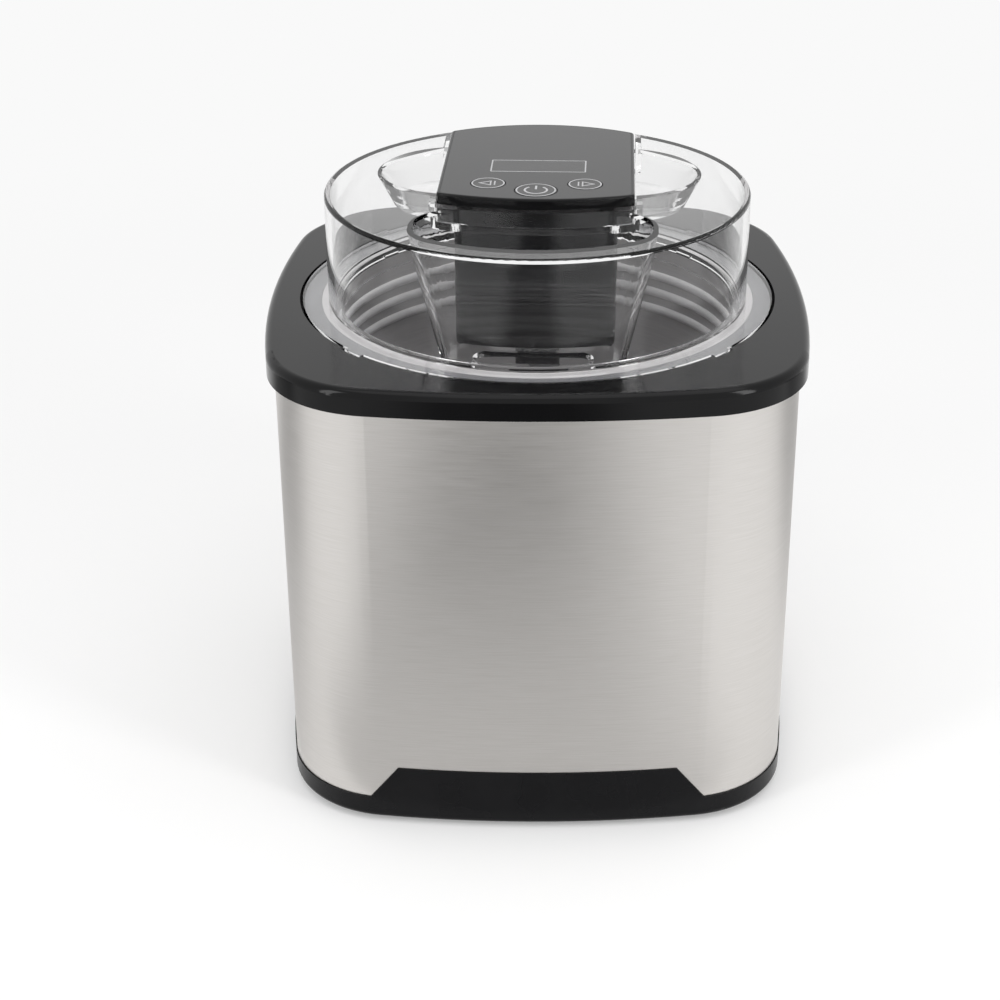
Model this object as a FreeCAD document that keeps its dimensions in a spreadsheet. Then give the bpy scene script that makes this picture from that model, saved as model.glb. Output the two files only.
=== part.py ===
import FreeCAD, Part
import math
import os
import Sketcher
from FreeCAD import Placement, Rotation, Vector

# Countertop ice cream maker: freezer canister in a steel-wrapped body, clear lid, lift-out motor unit.
# Millimetres and degrees, +Z up, origin on the table under the middle of the body, front towards -Y.

doc = FreeCAD.newDocument("ice_cream_maker")

driving = {
    # Clearances
    "seat_gap": 0.1,
    "slide_gap": 0.3,
    "bearing_gap": 0.05,
    # Rounded-square body
    "body_half": 104.0,
    "body_bulge": 428.0,
    "body_corner": 43.0,
    "wrap_show": 167.5,
    "steel_thick": 0.8,
    # Base tray
    "foot_stand": 2.0,
    "foot_radius": 9.0,
    "foot_reach": 72.0,
    "peg_radius": 3.0,
    "peg_length": 5.0,
    "base_band": 9.5,
    "base_proud": 0.5,
    "base_wall": 2.5,
    "base_floor": 2.5,
    "base_edge": 2.5,
    "base_upstand": 7.0,
    "plinth_rise": 14.5,
    "plinth_top_half": 55.0,
    "plinth_foot_half": 66.5,
    "base_screw_reach": 42.0,
    "screw_well": 3.0,
    # Top rim
    "rim_overhang": 3.0,
    "rim_height": 9.8,
    "rim_skin": 3.0,
    "rim_wall": 2.4,
    "rim_edge": 3.0,
    "rim_ring_wall": 3.6,
    "rim_screw_inset": 28.0,
    # Liner well
    "liner_wall": 2.0,
    "liner_stand": 13.5,
    "liner_flange": 2.5,
    # Freezer canister
    "canister_inset": 5.0,
    "canister_gap": 2.0,
    "canister_lift": 4.0,
    "jacket_wall": 1.5,
    "bowl_wall": 1.5,
    "bowl_inset": 12.5,
    "bowl_taper": 5.0,
    "bowl_lip": 5.0,
    "coolant_floor": 13.0,
    "collar_height": 8.0,
    "collar_inset": 0.6,
    "pivot_radius": 5.0,
    "pivot_height": 11.0,
    # Paddle
    "paddle_gap": 3.0,
    "paddle_lift": 4.0,
    "paddle_height": 106.0,
    "paddle_thick": 4.0,
    "paddle_bar": 9.0,
    "hub_radius": 9.0,
    "hub_clear": 2.0,
    "socket_depth": 14.0,
    # Clear lid
    "lid_turn": -2.1,
    "lid_step": 10.2,
    "lid_rise": 43.2,
    "lid_wall": 2.4,
    "lid_edge": 1.2,
    "flange_inset": 10.0,
    "flange_thick": 3.6,
    "flange_gap": 1.2,
    "skirt_depth": 5.0,
    "skirt_wall": 2.0,
    "lug_angle": 46.5,
    "lug_reach": 1.6,
    "lug_root": 3.2,
    "lug_length": 9.0,
    "lug_play": 0.7,
    # Finger scoops beside the motor unit
    "scoop_set_in": 13.65,
    "scoop_flare": 7.2,
    "scoop_side": 32.8,
    "scoop_back": 21.0,
    "scoop_depth": 11.5,
    # Ingredient chute
    "chute_top_half": 45.1,
    "chute_set_in": 10.4,
    "chute_top_back": 32.8,
    "chute_foot_half": 33.5,
    "chute_foot_front": 53.0,
    "chute_foot_back": 35.0,
    "chute_front_arc": 73.4,
    "chute_back_arc": 93.0,
    "chute_top_corner": 16.0,
    "chute_foot_corner": 6.0,
    "chute_depth": 55.8,
    "slot_half": 23.0,
    "slot_front": 50.0,
    "slot_back": 38.0,
    # Motor unit slab
    "channel_depth": 7.0,
    "slab_rise": 4.0,
    "slab_overhang": 6.2,
    "slab_front": 28.1,
    "slab_set_in": 11.2,
    "slab_front_arc": 111.0,
    "slab_corner": 2.5,
    "slab_gap": 0.7,
    "slab_edge": 0.8,
    "cover_wall": 1.6,
    "cover_skin": 1.8,
    "panel_thick": 1.2,
    "panel_inset": 1.2,
    "head_screw_front": 3.4,
    # Motor pod
    "pod_flange": 3.0,
    "pod_depth": 50.5,
    "pod_half": 32.0,
    "pod_wall": 2.0,
    "pod_floor": 2.5,
    "pod_corner": 10.0,
    "pod_boss_radius": 9.0,
    "pod_boss_drop": 2.0,
    "pod_boss_stand": 1.0,
    "post_radius": 3.2,
    "post_inset": 4.5,
    # Buttons, display and board
    "power_radius": 8.5,
    "power_front": 16.65,
    "step_radius": 7.0,
    "step_side": 18.9,
    "step_front": 8.6,
    "cap_proud": 0.2,
    "cap_flange": 0.8,
    "cap_flange_thick": 0.9,
    "cap_travel": 0.8,
    "window_length": 37.8,
    "window_width": 15.9,
    "window_back": 14.1,
    "window_corner": 2.0,
    "display_margin": 1.5,
    "board_drop": 7.3,
    "board_thick": 1.6,
    "board_inset": 2.0,
    "board_back": 29.5,
    "board_corner": 3.0,
    "board_post_inset": 3.5,
    "board_post_radius": 2.4,
    "switch_side": 6.0,
    "switch_height": 4.2,
    "plunger_radius": 1.6,
    # Gear train
    "pinion_teeth": 12,
    "wheel_teeth": 36,
    "small_teeth": 12,
    "output_teeth": 34,
    "first_module": 0.8,
    "second_module": 0.9,
    "pressure_angle": 25.0,
    "tooth_thinning": 0.12,
    "output_width": 6.0,
    "wheel_width": 4.4,
    "gear_clear": 2.3,
    "layer_gap": 0.8,
    "plate_clear": 3.0,
    "plate_thick": 2.0,
    "gear_room": 7.2,
    "idler_pin_radius": 2.0,
    "idler_hub_radius": 4.0,
    # Motor and drive shaft
    "motor_radius": 17.5,
    "motor_height": 15.5,
    "motor_room": 1.6,
    "motor_boss_radius": 5.0,
    "motor_shaft_radius": 1.5,
    "motor_screw_side": 10.0,
    "shaft_radius": 4.0,
    "shaft_collar": 1.2,
    "bush_wall": 2.0,
    "drive_gap": 0.25,
    "drive_length": 12.0,
    # Cord gland
    "gland_radius": 3.2,
    "gland_bore": 2.2,
    "gland_length": 6.0,
    # Screws
    "screw_radius": 1.6,
    "screw_head_radius": 3.0,
    "screw_head": 1.8,
    "screw_bite": 8.0,
    "fine_radius": 1.1,
    "fine_head_radius": 2.1,
    "fine_head": 1.4,
    "fine_bite": 2.4,
}

sheet = doc.addObject("Spreadsheet::Sheet", "dims")
for row, (alias, number) in enumerate(driving.items(), 1):
    sheet.set(f"A{row}", alias)
    sheet.set(f"B{row}", str(number))
    sheet.setAlias(f"B{row}", alias)
doc.recompute()


class Size:
    # A size written as a formula of the sheet's cells, so that sums of sizes stay bound to them.
    def __init__(self, text):
        self.text = text

    def __str__(self):
        return self.text

    def __add__(self, other):
        return Size(f"({self} + {other})")

    def __radd__(self, other):
        return Size(f"({other} + {self})")

    def __sub__(self, other):
        return Size(f"({self} - {other})")

    def __rsub__(self, other):
        return Size(f"({other} - {self})")

    def __mul__(self, other):
        return Size(f"({self} * {other})")

    def __rmul__(self, other):
        return Size(f"({other} * {self})")

    def __truediv__(self, other):
        return Size(f"({self} / {other})")

    def __neg__(self):
        return Size(f"(0 - {self})")


def size(alias):
    return Size(f"dims.{alias}")


def number_of(formula):
    result = sheet.evalExpression(str(formula))
    return float(getattr(result, "Value", result))


def bind(item, **formulas):
    for name, formula in formulas.items():
        item.setExpression(name, str(formula))
    return item


def stand(item, x=0, y=0, z=0):
    for axis, formula in zip("xyz", (x, y, z)):
        item.setExpression(f"Placement.Base.{axis}", str(formula))
    return item


# Radii and reaches that follow the width of the body
flange_radius = size("body_half") - size("flange_inset")
canister_radius = flange_radius - size("canister_inset")
bowl_mouth = flange_radius - size("bowl_inset")
bowl_foot = bowl_mouth - size("bowl_taper")
lid_radius = flange_radius - size("lid_step")
slab_back = lid_radius - size("slab_set_in")
# The slab overhangs the pod on both sides, as the flange that carries it.
slab_half = size("pod_half") + size("slab_overhang")
chute_front = {"top": lid_radius - size("chute_set_in"), "foot": size("chute_foot_front")}
rim_screw_reach = size("body_half") - size("rim_screw_inset")
# A scoop reaches out to its set-in from the lid's edge, along the line from the middle of the lid.
scoop_away = Size(f"sqrt({size('scoop_side')}^2 + {size('scoop_back')}^2)")
scoop_radius = lid_radius - size("scoop_set_in") - scoop_away
scoop_foot_radius = scoop_radius - size("scoop_flare")


# Primitives and booleans

def cylinder(name, radius, bottom, top, x=0, y=0):
    item = doc.addObject("Part::Cylinder", name)
    bind(item, Radius=radius, Height=Size(f"({top} - {bottom})"))
    return stand(item, x, y, bottom)


def block(name, left, right, front, back, bottom, top):
    item = doc.addObject("Part::Box", name)
    bind(item, Length=Size(f"({right} - {left})"), Width=Size(f"({back} - {front})"))
    bind(item, Height=Size(f"({top} - {bottom})"))
    return stand(item, left, front, bottom)


def hexagon(name, circumradius, bottom, top):
    item = doc.addObject("Part::Prism", name)
    item.Polygon = 6
    bind(item, Circumradius=circumradius, Height=Size(f"({top} - {bottom})"))
    return stand(item, 0, 0, bottom)


def fuse(name, pieces):
    item = doc.addObject("Part::MultiFuse", name)
    item.Shapes = pieces
    return item


def single(name, piece):
    # Carries a piece that already has a place, so that it can be turned about the middle of the part.
    item = doc.addObject("Part::Compound", name)
    item.Links = [piece]
    return item


def cut(name, base, tools):
    item = doc.addObject("Part::Cut", name)
    item.Base = base
    item.Tool = tools[0] if len(tools) == 1 else fuse(f"{name}_tools", tools)
    return item


def common(name, first, second):
    item = doc.addObject("Part::Common", name)
    item.Base = first
    item.Tool = second
    return item


# Sketches

def new_sketch(body, plane, height=0):
    sketch = body.newObject("Sketcher::SketchObject", f"{body.Name}_sketch")
    support = [feature for feature in body.Origin.OriginFeatures if feature.Role == plane][0]
    sketch.AttachmentSupport = [(support, "")]
    sketch.MapMode = "FlatFace"
    sketch.setExpression("AttachmentOffset.Base.z", str(height))
    return sketch


def hold(sketch, kind, *where, formula):
    row = sketch.addConstraint(Sketcher.Constraint(kind, *where, number_of(formula)))
    sketch.setExpression(f"Constraints[{row}]", str(formula))


def hold_point(sketch, geometry, point, x, y):
    hold(sketch, "DistanceX", -1, 1, geometry, point, formula=x)
    hold(sketch, "DistanceY", -1, 1, geometry, point, formula=y)


def polygon(sketch, points):
    # Closed outline run counterclockwise. A third value on a point rounds that square corner.
    corners = []
    for place, (x, y, *bend) in enumerate(points):
        if not bend:
            corners.append((x, y, None))
            continue
        here = Vector(number_of(x), number_of(y), 0)
        before = Vector(*[number_of(value) for value in points[place - 1][:2]], 0)
        after = Vector(*[number_of(value) for value in points[(place + 1) % len(points)][:2]], 0)
        inward = (before - here).normalize()
        onward = (after - here).normalize()
        radius = bend[0]
        corners.append((x + radius * round(inward.x), y + radius * round(inward.y), radius))
        corners.append((x + radius * round(onward.x), y + radius * round(onward.y), None))
    first = sketch.GeometryCount
    count = len(corners)
    spots = [Vector(number_of(x), number_of(y), 0) for x, y, bend in corners]
    for side, (x, y, bend) in enumerate(corners):
        start = spots[side]
        end = spots[(side + 1) % count]
        if bend is None:
            sketch.addGeometry(Part.LineSegment(start, end))
            continue
        radius = number_of(bend)
        middle = (start + end) / 2
        chord = end - start
        # The centre of a quarter turn lies half a chord to the left of the chord's middle.
        center = middle + Vector(-chord.y, chord.x, 0) / 2
        opening = math.atan2(start.y - center.y, start.x - center.x)
        add_arc(sketch, (center.x, center.y), radius, opening, opening + math.pi / 2)
    for side in range(count):
        following = first + (side + 1) % count
        sketch.addConstraint(Sketcher.Constraint("Coincident", first + side, 2, following, 1))
    for side, (x, y, bend) in enumerate(corners):
        hold_point(sketch, first + side, 1, x, y)
        if bend is not None:
            hold(sketch, "Radius", first + side, formula=bend)


def add_arc(sketch, center, radius, start, end):
    circle = Part.Circle(Vector(*center, 0), Vector(0, 0, 1), radius)
    sketch.addGeometry(Part.ArcOfCircle(circle, start, end))


def rounded_square(sketch, offset):
    # Four bulged sides and four corner arcs, tangent all round.
    half = size("body_half") + offset
    bulge = size("body_bulge") + offset
    corner = size("body_corner") + offset
    center = bulge - half
    reach = number_of(center)
    radius = number_of(bulge)
    inner = number_of(corner)
    # The corner's centre (k, k) lies bulge - corner away from a side's centre (0, -reach).
    diagonal = (math.sqrt(2 * (radius - inner) ** 2 - reach ** 2) - reach) / 2
    spread = math.atan2(diagonal, diagonal + reach)
    for side in range(4):
        turn = side * math.pi / 2
        middle = turn - math.pi / 2
        away = (reach * math.cos(turn + math.pi / 2), reach * math.sin(turn + math.pi / 2))
        add_arc(sketch, away, radius, middle - spread, middle + spread)
        lean = middle + math.pi / 4
        place = (diagonal * math.sqrt(2) * math.cos(lean), diagonal * math.sqrt(2) * math.sin(lean))
        add_arc(sketch, place, inner, middle + spread, middle + math.pi / 2 - spread)
    for joint in range(8):
        sketch.addConstraint(Sketcher.Constraint("Tangent", joint, 2, (joint + 1) % 8, 1))
    centers = [(0, center), (-center, 0), (0, -center), (center, 0)]
    for side, (x, y) in enumerate(centers):
        hold_point(sketch, 2 * side, 3, x, y)
        hold(sketch, "Radius", 2 * side, formula=bulge)
        hold(sketch, "Radius", 2 * side + 1, formula=corner)


def bow(sketch, half, front, front_arc, back, back_arc, corner, hollow_back):
    # Outline between a front arc that swells towards -Y, a back arc and two straight sides.
    # front and back are the arcs' places on the middle line. A hollow back also swells towards -Y.
    front_center = front + front_arc
    back_center = back + back_arc if hollow_back else back - back_arc
    side = number_of(half)
    bend = number_of(corner)
    lower = number_of(front_center)
    upper = number_of(back_center)
    low_radius = number_of(front_arc)
    high_radius = number_of(back_arc)
    inset = side - bend
    low_drop = math.sqrt((low_radius - bend) ** 2 - inset ** 2)
    low_lean = math.atan2(-low_drop, inset)
    low_corner = lower - low_drop
    if hollow_back:
        high_drop = math.sqrt((high_radius + bend) ** 2 - inset ** 2)
        high_corner = upper - high_drop
        high_lean = math.atan2(high_drop, -inset)
        back_span = (math.atan2(-high_drop, -inset), math.atan2(-high_drop, inset))
    else:
        high_drop = math.sqrt((high_radius - bend) ** 2 - inset ** 2)
        high_corner = upper + high_drop
        high_lean = math.atan2(high_drop, inset)
        back_span = (high_lean, math.pi - high_lean)
    add_arc(sketch, (0, lower), low_radius, -math.pi - low_lean, low_lean)
    add_arc(sketch, (inset, low_corner), bend, low_lean, 0)
    sketch.addGeometry(Part.LineSegment(Vector(side, low_corner, 0), Vector(side, high_corner, 0)))
    add_arc(sketch, (inset, high_corner), bend, 0, high_lean)
    add_arc(sketch, (0, upper), high_radius, *back_span)
    add_arc(sketch, (-inset, high_corner), bend, math.pi - high_lean, math.pi)
    sketch.addGeometry(Part.LineSegment(Vector(-side, high_corner, 0), Vector(-side, low_corner, 0)))
    add_arc(sketch, (-inset, low_corner), bend, math.pi, math.pi * 2 - (math.pi + low_lean))
    # A hollow back runs the other way round its own circle, so its ends are met the other way about.
    meetings = [(0, 2, 1, 1), (1, 2, 2, 1), (2, 2, 3, 1), (5, 2, 6, 1), (6, 2, 7, 1), (7, 2, 0, 1)]
    meetings += [(3, 2, 4, 2), (4, 1, 5, 1)] if hollow_back else [(3, 2, 4, 1), (4, 2, 5, 1)]
    for meeting in meetings:
        sketch.addConstraint(Sketcher.Constraint("Tangent", *meeting))
    hold_point(sketch, 0, 3, 0, front_center)
    hold(sketch, "Radius", 0, formula=front_arc)
    hold_point(sketch, 4, 3, 0, back_center)
    hold(sketch, "Radius", 4, formula=back_arc)
    hold(sketch, "DistanceX", -1, 1, 2, 1, formula=half)
    hold(sketch, "DistanceX", -1, 1, 6, 1, formula=-half)
    for bent in (1, 3, 5, 7):
        hold(sketch, "Radius", bent, formula=corner)


# Bodies

def new_body(name):
    return doc.addObject("PartDesign::Body", name)


def pad(body, sketch, length):
    feature = body.newObject("PartDesign::Pad", f"{body.Name}_pad")
    feature.Profile = sketch
    bind(feature, Length=length)
    doc.recompute()
    return feature


def round_edges(body, feature, radius, wanted):
    names = [f"Edge{n}" for n, edge in enumerate(feature.Shape.Edges, 1) if wanted(edge)]
    fillet = body.newObject("PartDesign::Fillet", f"{body.Name}_fillet")
    fillet.Base = (feature, names)
    bind(fillet, Radius=radius)
    doc.recompute()
    return fillet


def level_edge(height):
    level = number_of(height)
    return lambda edge: abs(edge.BoundBox.ZMin - level) < 1e-3 and abs(edge.BoundBox.ZMax - level) < 1e-3


def upright_edge(edge):
    return edge.BoundBox.ZLength > 1e-3 and edge.BoundBox.XLength + edge.BoundBox.YLength < 1e-3


def square_prism(name, offset, bottom, top, edge=None, edge_height=None):
    body = new_body(name)
    sketch = new_sketch(body, "XY_Plane", bottom)
    rounded_square(sketch, offset)
    feature = pad(body, sketch, Size(f"({top} - {bottom})"))
    if edge is not None:
        round_edges(body, feature, edge, level_edge(edge_height))
    return body


def slab_prism(name, offset, bottom, top, back=None, edge=None):
    # The motor unit's outline grown by offset. back replaces the radius of the back arc.
    body = new_body(name)
    sketch = new_sketch(body, "XY_Plane", bottom)
    reach = slab_back + offset if back is None else back
    front_arc = size("slab_front_arc") + offset
    half = slab_half + offset
    front = -(size("slab_front") + offset)
    bow(sketch, half, front, front_arc, reach, reach, size("slab_corner"), False)
    feature = pad(body, sketch, Size(f"({top} - {bottom})"))
    if edge is not None:
        round_edges(body, feature, edge, level_edge(top))
    return body


def box_prism(name, half, front, back, bottom, top, corner):
    body = new_body(name)
    sketch = new_sketch(body, "XY_Plane", bottom)
    polygon(sketch, [(-half, front), (half, front), (half, back), (-half, back)])
    feature = pad(body, sketch, Size(f"({top} - {bottom})"))
    round_edges(body, feature, corner, upright_edge)
    return body


def lathe(name, points):
    body = new_body(name)
    sketch = new_sketch(body, "XZ_Plane")
    polygon(sketch, points)
    feature = body.newObject("PartDesign::Revolution", f"{name}_turning")
    feature.Profile = sketch
    feature.ReferenceAxis = (sketch, ["V_Axis"])
    feature.Angle = 360
    doc.recompute()
    return body


def chute_funnel(name, offset, bottom, top):
    # Lofted funnel between the chute's mouth and its foot, grown by offset.
    body = new_body(name)
    profiles = []
    for level, height in (("top", top), ("foot", bottom)):
        sketch = new_sketch(body, "XY_Plane", height)
        half = size(f"chute_{level}_half") + offset
        front = -(chute_front[level] + offset)
        back = offset - size(f"chute_{level}_back")
        front_arc = size("chute_front_arc") + offset
        back_arc = size("chute_back_arc") - offset
        bow(sketch, half, front, front_arc, back, back_arc, size(f"chute_{level}_corner") + offset, True)
        profiles.append(sketch)
    loft = body.newObject("PartDesign::AdditiveLoft", f"{name}_loft")
    loft.Profile = profiles[0]
    loft.Sections = [profiles[1]]
    doc.recompute()
    return body


def screws(name, places, kind, head_bottom, upward, length):
    # One fused pair of head and shank at each place. upward points the shank to +Z.
    prefix = "screw" if kind == "plain" else "fine"
    radius = size(f"{prefix}_radius")
    head_radius = size(f"{prefix}_head_radius")
    head = size(f"{prefix}_head")
    pieces = []
    for count, (x, y) in enumerate(places):
        head_top = head_bottom + head
        pieces.append(cylinder(f"{name}_head_{count}", head_radius, head_bottom, head_top, x, y))
        start = head_top if upward else head_bottom - length
        pieces.append(cylinder(f"{name}_shank_{count}", radius, start, start + length, x, y))
    return fuse(name, pieces)


def holes(name, places, radius, bottom, top):
    return [cylinder(f"{name}_{count}", radius, bottom, top, x, y) for count, (x, y) in enumerate(places)]


def four(x, y):
    return [(-x, -y), (x, -y), (x, y), (-x, y)]


nodes = []


def node(item, label):
    item.Label = label
    nodes.append(item)
    return item


def lid_node(item, label):
    # The lid's top stands slightly turned against its lugs, with all that rides on it.
    item.Placement = Placement(Vector(0, 0, 0), Rotation(Vector(0, 0, 1), 1))
    bind(item, **{"Placement.Rotation.Angle": size("lid_turn")})
    return node(item, label)


# Levels of the housing, from the table up
gap = size("seat_gap")
# How far a cutting tool runs past the face it opens
overcut = Size("2")
base_bottom = size("foot_stand")
base_floor_top = base_bottom + size("base_floor")
well_floor = base_bottom + size("screw_well")
well_top = base_floor_top + size("screw_well")
band_top = base_bottom + size("base_band")
plinth_top = band_top + size("plinth_rise")
rim_bottom = band_top + size("wrap_show")
rim_top = rim_bottom + size("rim_height")
skin_under = rim_top - size("rim_skin")
flange_bottom = rim_top - size("flange_thick")
collar_top = flange_bottom - gap
collar_bottom = collar_top - size("collar_height")
liner_top = collar_bottom - gap
liner_flange_bottom = liner_top - size("liner_flange")
liner_bottom = base_floor_top + size("liner_stand")
liner_floor_top = liner_bottom + size("liner_wall")
opening_radius = flange_radius + size("flange_gap")
steel_inside = -size("steel_thick")
inside_steel = steel_inside - size("slide_gap")
tray_inside = inside_steel - size("base_wall")

foot_places = four(size("foot_reach"), size("foot_reach"))
base_screw_places = four(size("base_screw_reach"), size("base_screw_reach"))
rim_screw_places = four(rim_screw_reach, rim_screw_reach)


def plinth_wedge(name, room):
    # Trapezoid standing across the front on the band, carried back to the middle of the body.
    body = new_body(name)
    sketch = new_sketch(body, "XZ_Plane")
    top_half = size("plinth_top_half") + room
    foot_half = size("plinth_foot_half") + room
    top = plinth_top + room
    below = band_top - overcut
    outline = [(-foot_half, below), (foot_half, below), (foot_half, band_top)]
    outline += [(top_half, top), (-top_half, top), (-foot_half, band_top)]
    polygon(sketch, outline)
    pad(body, sketch, size("body_half") + size("body_half"))
    return body


def make_base():
    proud = size("base_proud")
    band = square_prism("base_band_solid", proud, base_bottom, band_top, size("base_edge"), base_bottom)
    upstand_top = band_top + size("base_upstand")
    upstand = square_prism("base_upstand_solid", inside_steel, base_floor_top, upstand_top)
    plinth_stock = square_prism("plinth_stock", proud, base_floor_top, plinth_top)
    plinth = common("plinth", plinth_stock, plinth_wedge("plinth_shape", Size("0")))
    stock = fuse("base_stock", [band, upstand, plinth])
    hollow = square_prism("base_hollow", tray_inside, base_floor_top, plinth_top + overcut)
    tray = cut("base_open", stock, [hollow])
    well_radius = size("screw_head_radius") + size("base_wall")
    wells = holes("screw_well", base_screw_places, well_radius, base_bottom, well_top)
    solid = fuse("base_solid", [tray] + wells)
    below = base_bottom - overcut
    tools = holes("peg_hole", foot_places, size("peg_radius"), below, base_floor_top + overcut)
    radius = size("screw_radius") + gap
    tools += holes("base_screw_hole", base_screw_places, radius, below, well_top + overcut)
    seat_radius = size("screw_head_radius") + gap
    tools += holes("base_screw_seat", base_screw_places, seat_radius, below, well_floor)
    node(cut("base", solid, tools), "base_tray")
    pieces = []
    for count, (x, y) in enumerate(foot_places):
        pieces.append(cylinder(f"foot_pad_{count}", size("foot_radius"), Size("0"), base_bottom, x, y))
        pieces.append(cylinder(f"foot_peg_{count}", size("peg_radius"), Size("0"), size("peg_length"), x, y))
    node(fuse("feet", pieces), "base_feet")
    head_bottom = well_floor - size("screw_head")
    length = size("base_floor") + size("screw_bite")
    node(screws("base_screw", base_screw_places, "plain", head_bottom, True, length), "base_screws")


def make_shell():
    bottom = band_top + gap
    top = skin_under - gap
    outer = square_prism("shell_outer", Size("0"), bottom, top)
    inner = square_prism("shell_inner", steel_inside, bottom - overcut, top + overcut)
    notch = plinth_wedge("shell_notch", gap)
    node(cut("shell", outer, [inner, notch]), "steel_shell")


def lug_block(name, quarter_x, quarter_y, turn_back, length, reach, bottom, top):
    # A block across the flange edge at the lug angle, mirrored to each quarter and turned back.
    item = doc.addObject("Part::Box", name)
    root = flange_radius - size("lug_root")
    bind(item, Length=length, Width=Size(f"({reach} - {root})"), Height=Size(f"({top} - {bottom})"))
    lean = size("lug_angle") if quarter_y < 0 else 180 - size("lug_angle")
    heading = lean * quarter_x + 180 - turn_back
    item.Placement = Placement(Vector(0, 0, 0), Rotation(Vector(0, 0, 1), 1))
    bind(item, **{"Placement.Rotation.Angle": heading})
    half = Size(f"({length} / 2)")
    # The block's corner sits at (-half, root) before the turn.
    x = f"0 - {half} * cos({heading} * 1 deg) - {root} * sin({heading} * 1 deg)"
    y = f"0 - {half} * sin({heading} * 1 deg) + {root} * cos({heading} * 1 deg)"
    return stand(item, x, y, bottom)


def lug_blocks(name, turn_back, room, reach, bottom, top):
    length = size("lug_length") + room
    pieces = []
    for count, (x, y) in enumerate([(-1, -1), (1, -1), (1, 1), (-1, 1)]):
        pieces.append(lug_block(f"{name}_{count}", x, y, turn_back, length, reach, bottom, top))
    return pieces


def make_rim():
    over = size("rim_overhang")
    top = square_prism("rim_outer", over, rim_bottom, rim_top, size("rim_edge"), rim_top)
    hollow = square_prism("rim_hollow", over - size("rim_wall"), rim_bottom - overcut, skin_under)
    shell = cut("rim_shell", top, [hollow])
    ring_radius = opening_radius + size("rim_ring_wall")
    ring = cylinder("rim_ring", ring_radius, liner_top, rim_top - size("rim_edge"))
    boss_radius = size("screw_head_radius") + size("rim_wall")
    bosses = holes("rim_boss", rim_screw_places, boss_radius, liner_top, skin_under + gap)
    solid = fuse("rim_solid", [shell, ring] + bosses)
    tools = [cylinder("rim_opening", opening_radius, liner_top - overcut, rim_top + overcut)]
    notch_reach = opening_radius + size("lug_reach")
    # Play on both ends of each lug
    notch_room = size("lug_play") * 2
    notch_span = [notch_reach, flange_bottom - gap, rim_top + overcut]
    tools += lug_blocks("rim_notch", Size("0"), notch_room, *notch_span)
    tools += holes("rim_screw_hole", rim_screw_places, size("screw_radius"), liner_top - overcut, skin_under)
    node(cut("rim", solid, tools), "top_rim")
    head_bottom = liner_flange_bottom - size("screw_head")
    node(screws("rim_screw", rim_screw_places, "plain", head_bottom, True, size("screw_bite")), "rim_screws")


def make_liner():
    inner_radius = canister_radius + size("canister_gap")
    outer_radius = inner_radius + size("liner_wall")
    well = cylinder("liner_well", outer_radius, liner_bottom, liner_top)
    flange = square_prism("liner_flange_plate", inside_steel, liner_flange_bottom, liner_top)
    boss_radius = size("screw_head_radius") + size("liner_wall")
    bosses = holes("liner_boss", base_screw_places, boss_radius, well_top, liner_bottom + gap)
    solid = fuse("liner_solid", [well, flange] + bosses)
    tools = [cylinder("liner_hollow", inner_radius, liner_floor_top, liner_top + overcut)]
    bore = size("screw_radius")
    tools += holes("liner_pilot", base_screw_places, bore, well_top - overcut, liner_bottom)
    below = liner_flange_bottom - overcut
    tools += holes("liner_screw_hole", rim_screw_places, bore, below, liner_top + overcut)
    node(cut("liner", solid, tools), "inner_liner")


# Levels of the canister and the paddle
canister_bottom = liner_floor_top + size("canister_lift")
jacket_floor_top = canister_bottom + size("jacket_wall")
bowl_bottom = jacket_floor_top + size("coolant_floor")
bowl_floor = bowl_bottom + size("bowl_wall")
lip_bottom = collar_top - size("bowl_wall")
pivot_top = bowl_floor + size("pivot_height")
paddle_bottom = bowl_floor + size("paddle_lift")
paddle_top = paddle_bottom + size("paddle_height")
bowl_slope = (bowl_mouth - bowl_foot) / (collar_top - bowl_floor)


def bowl_radius(height):
    return bowl_foot + bowl_slope * (height - bowl_floor)


def make_canister():
    wall = size("bowl_wall")
    radius = canister_radius
    jacket_in = radius - size("jacket_wall")
    pivot = size("pivot_radius")
    lip_out = bowl_radius(lip_bottom) + wall
    lip_reach = bowl_mouth + size("bowl_lip")
    foot_out = bowl_foot + wall
    bowl = [(0, bowl_bottom), (foot_out, bowl_bottom), (lip_out, lip_bottom)]
    bowl += [(lip_reach, lip_bottom), (lip_reach, collar_top), (bowl_mouth, collar_top)]
    bowl += [(bowl_foot, bowl_floor), (pivot, bowl_floor), (pivot, pivot_top), (0, pivot_top)]
    node(lathe("bowl", bowl), "canister_bowl")
    jacket = [(0, canister_bottom), (radius, canister_bottom), (radius, collar_bottom)]
    jacket += [(jacket_in, collar_bottom), (jacket_in, jacket_floor_top), (0, jacket_floor_top)]
    node(lathe("jacket", jacket), "canister_jacket")
    outer_slope = (lip_out - foot_out) / (lip_bottom - bowl_bottom)
    fill_in = foot_out + outer_slope * (collar_bottom - bowl_bottom)
    coolant = [(0, jacket_floor_top), (jacket_in, jacket_floor_top), (jacket_in, collar_bottom)]
    coolant += [(fill_in, collar_bottom), (foot_out, bowl_bottom), (0, bowl_bottom)]
    node(lathe("coolant", coolant), "canister_coolant")
    collar_out = flange_radius - size("collar_inset")
    collar_in = lip_out + gap
    ledge = lip_bottom - gap
    collar = [(collar_in, collar_bottom), (collar_out, collar_bottom), (collar_out, collar_top)]
    collar += [(lip_reach + gap, collar_top), (lip_reach + gap, ledge), (collar_in, ledge)]
    node(lathe("collar", collar), "canister_collar")


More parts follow.
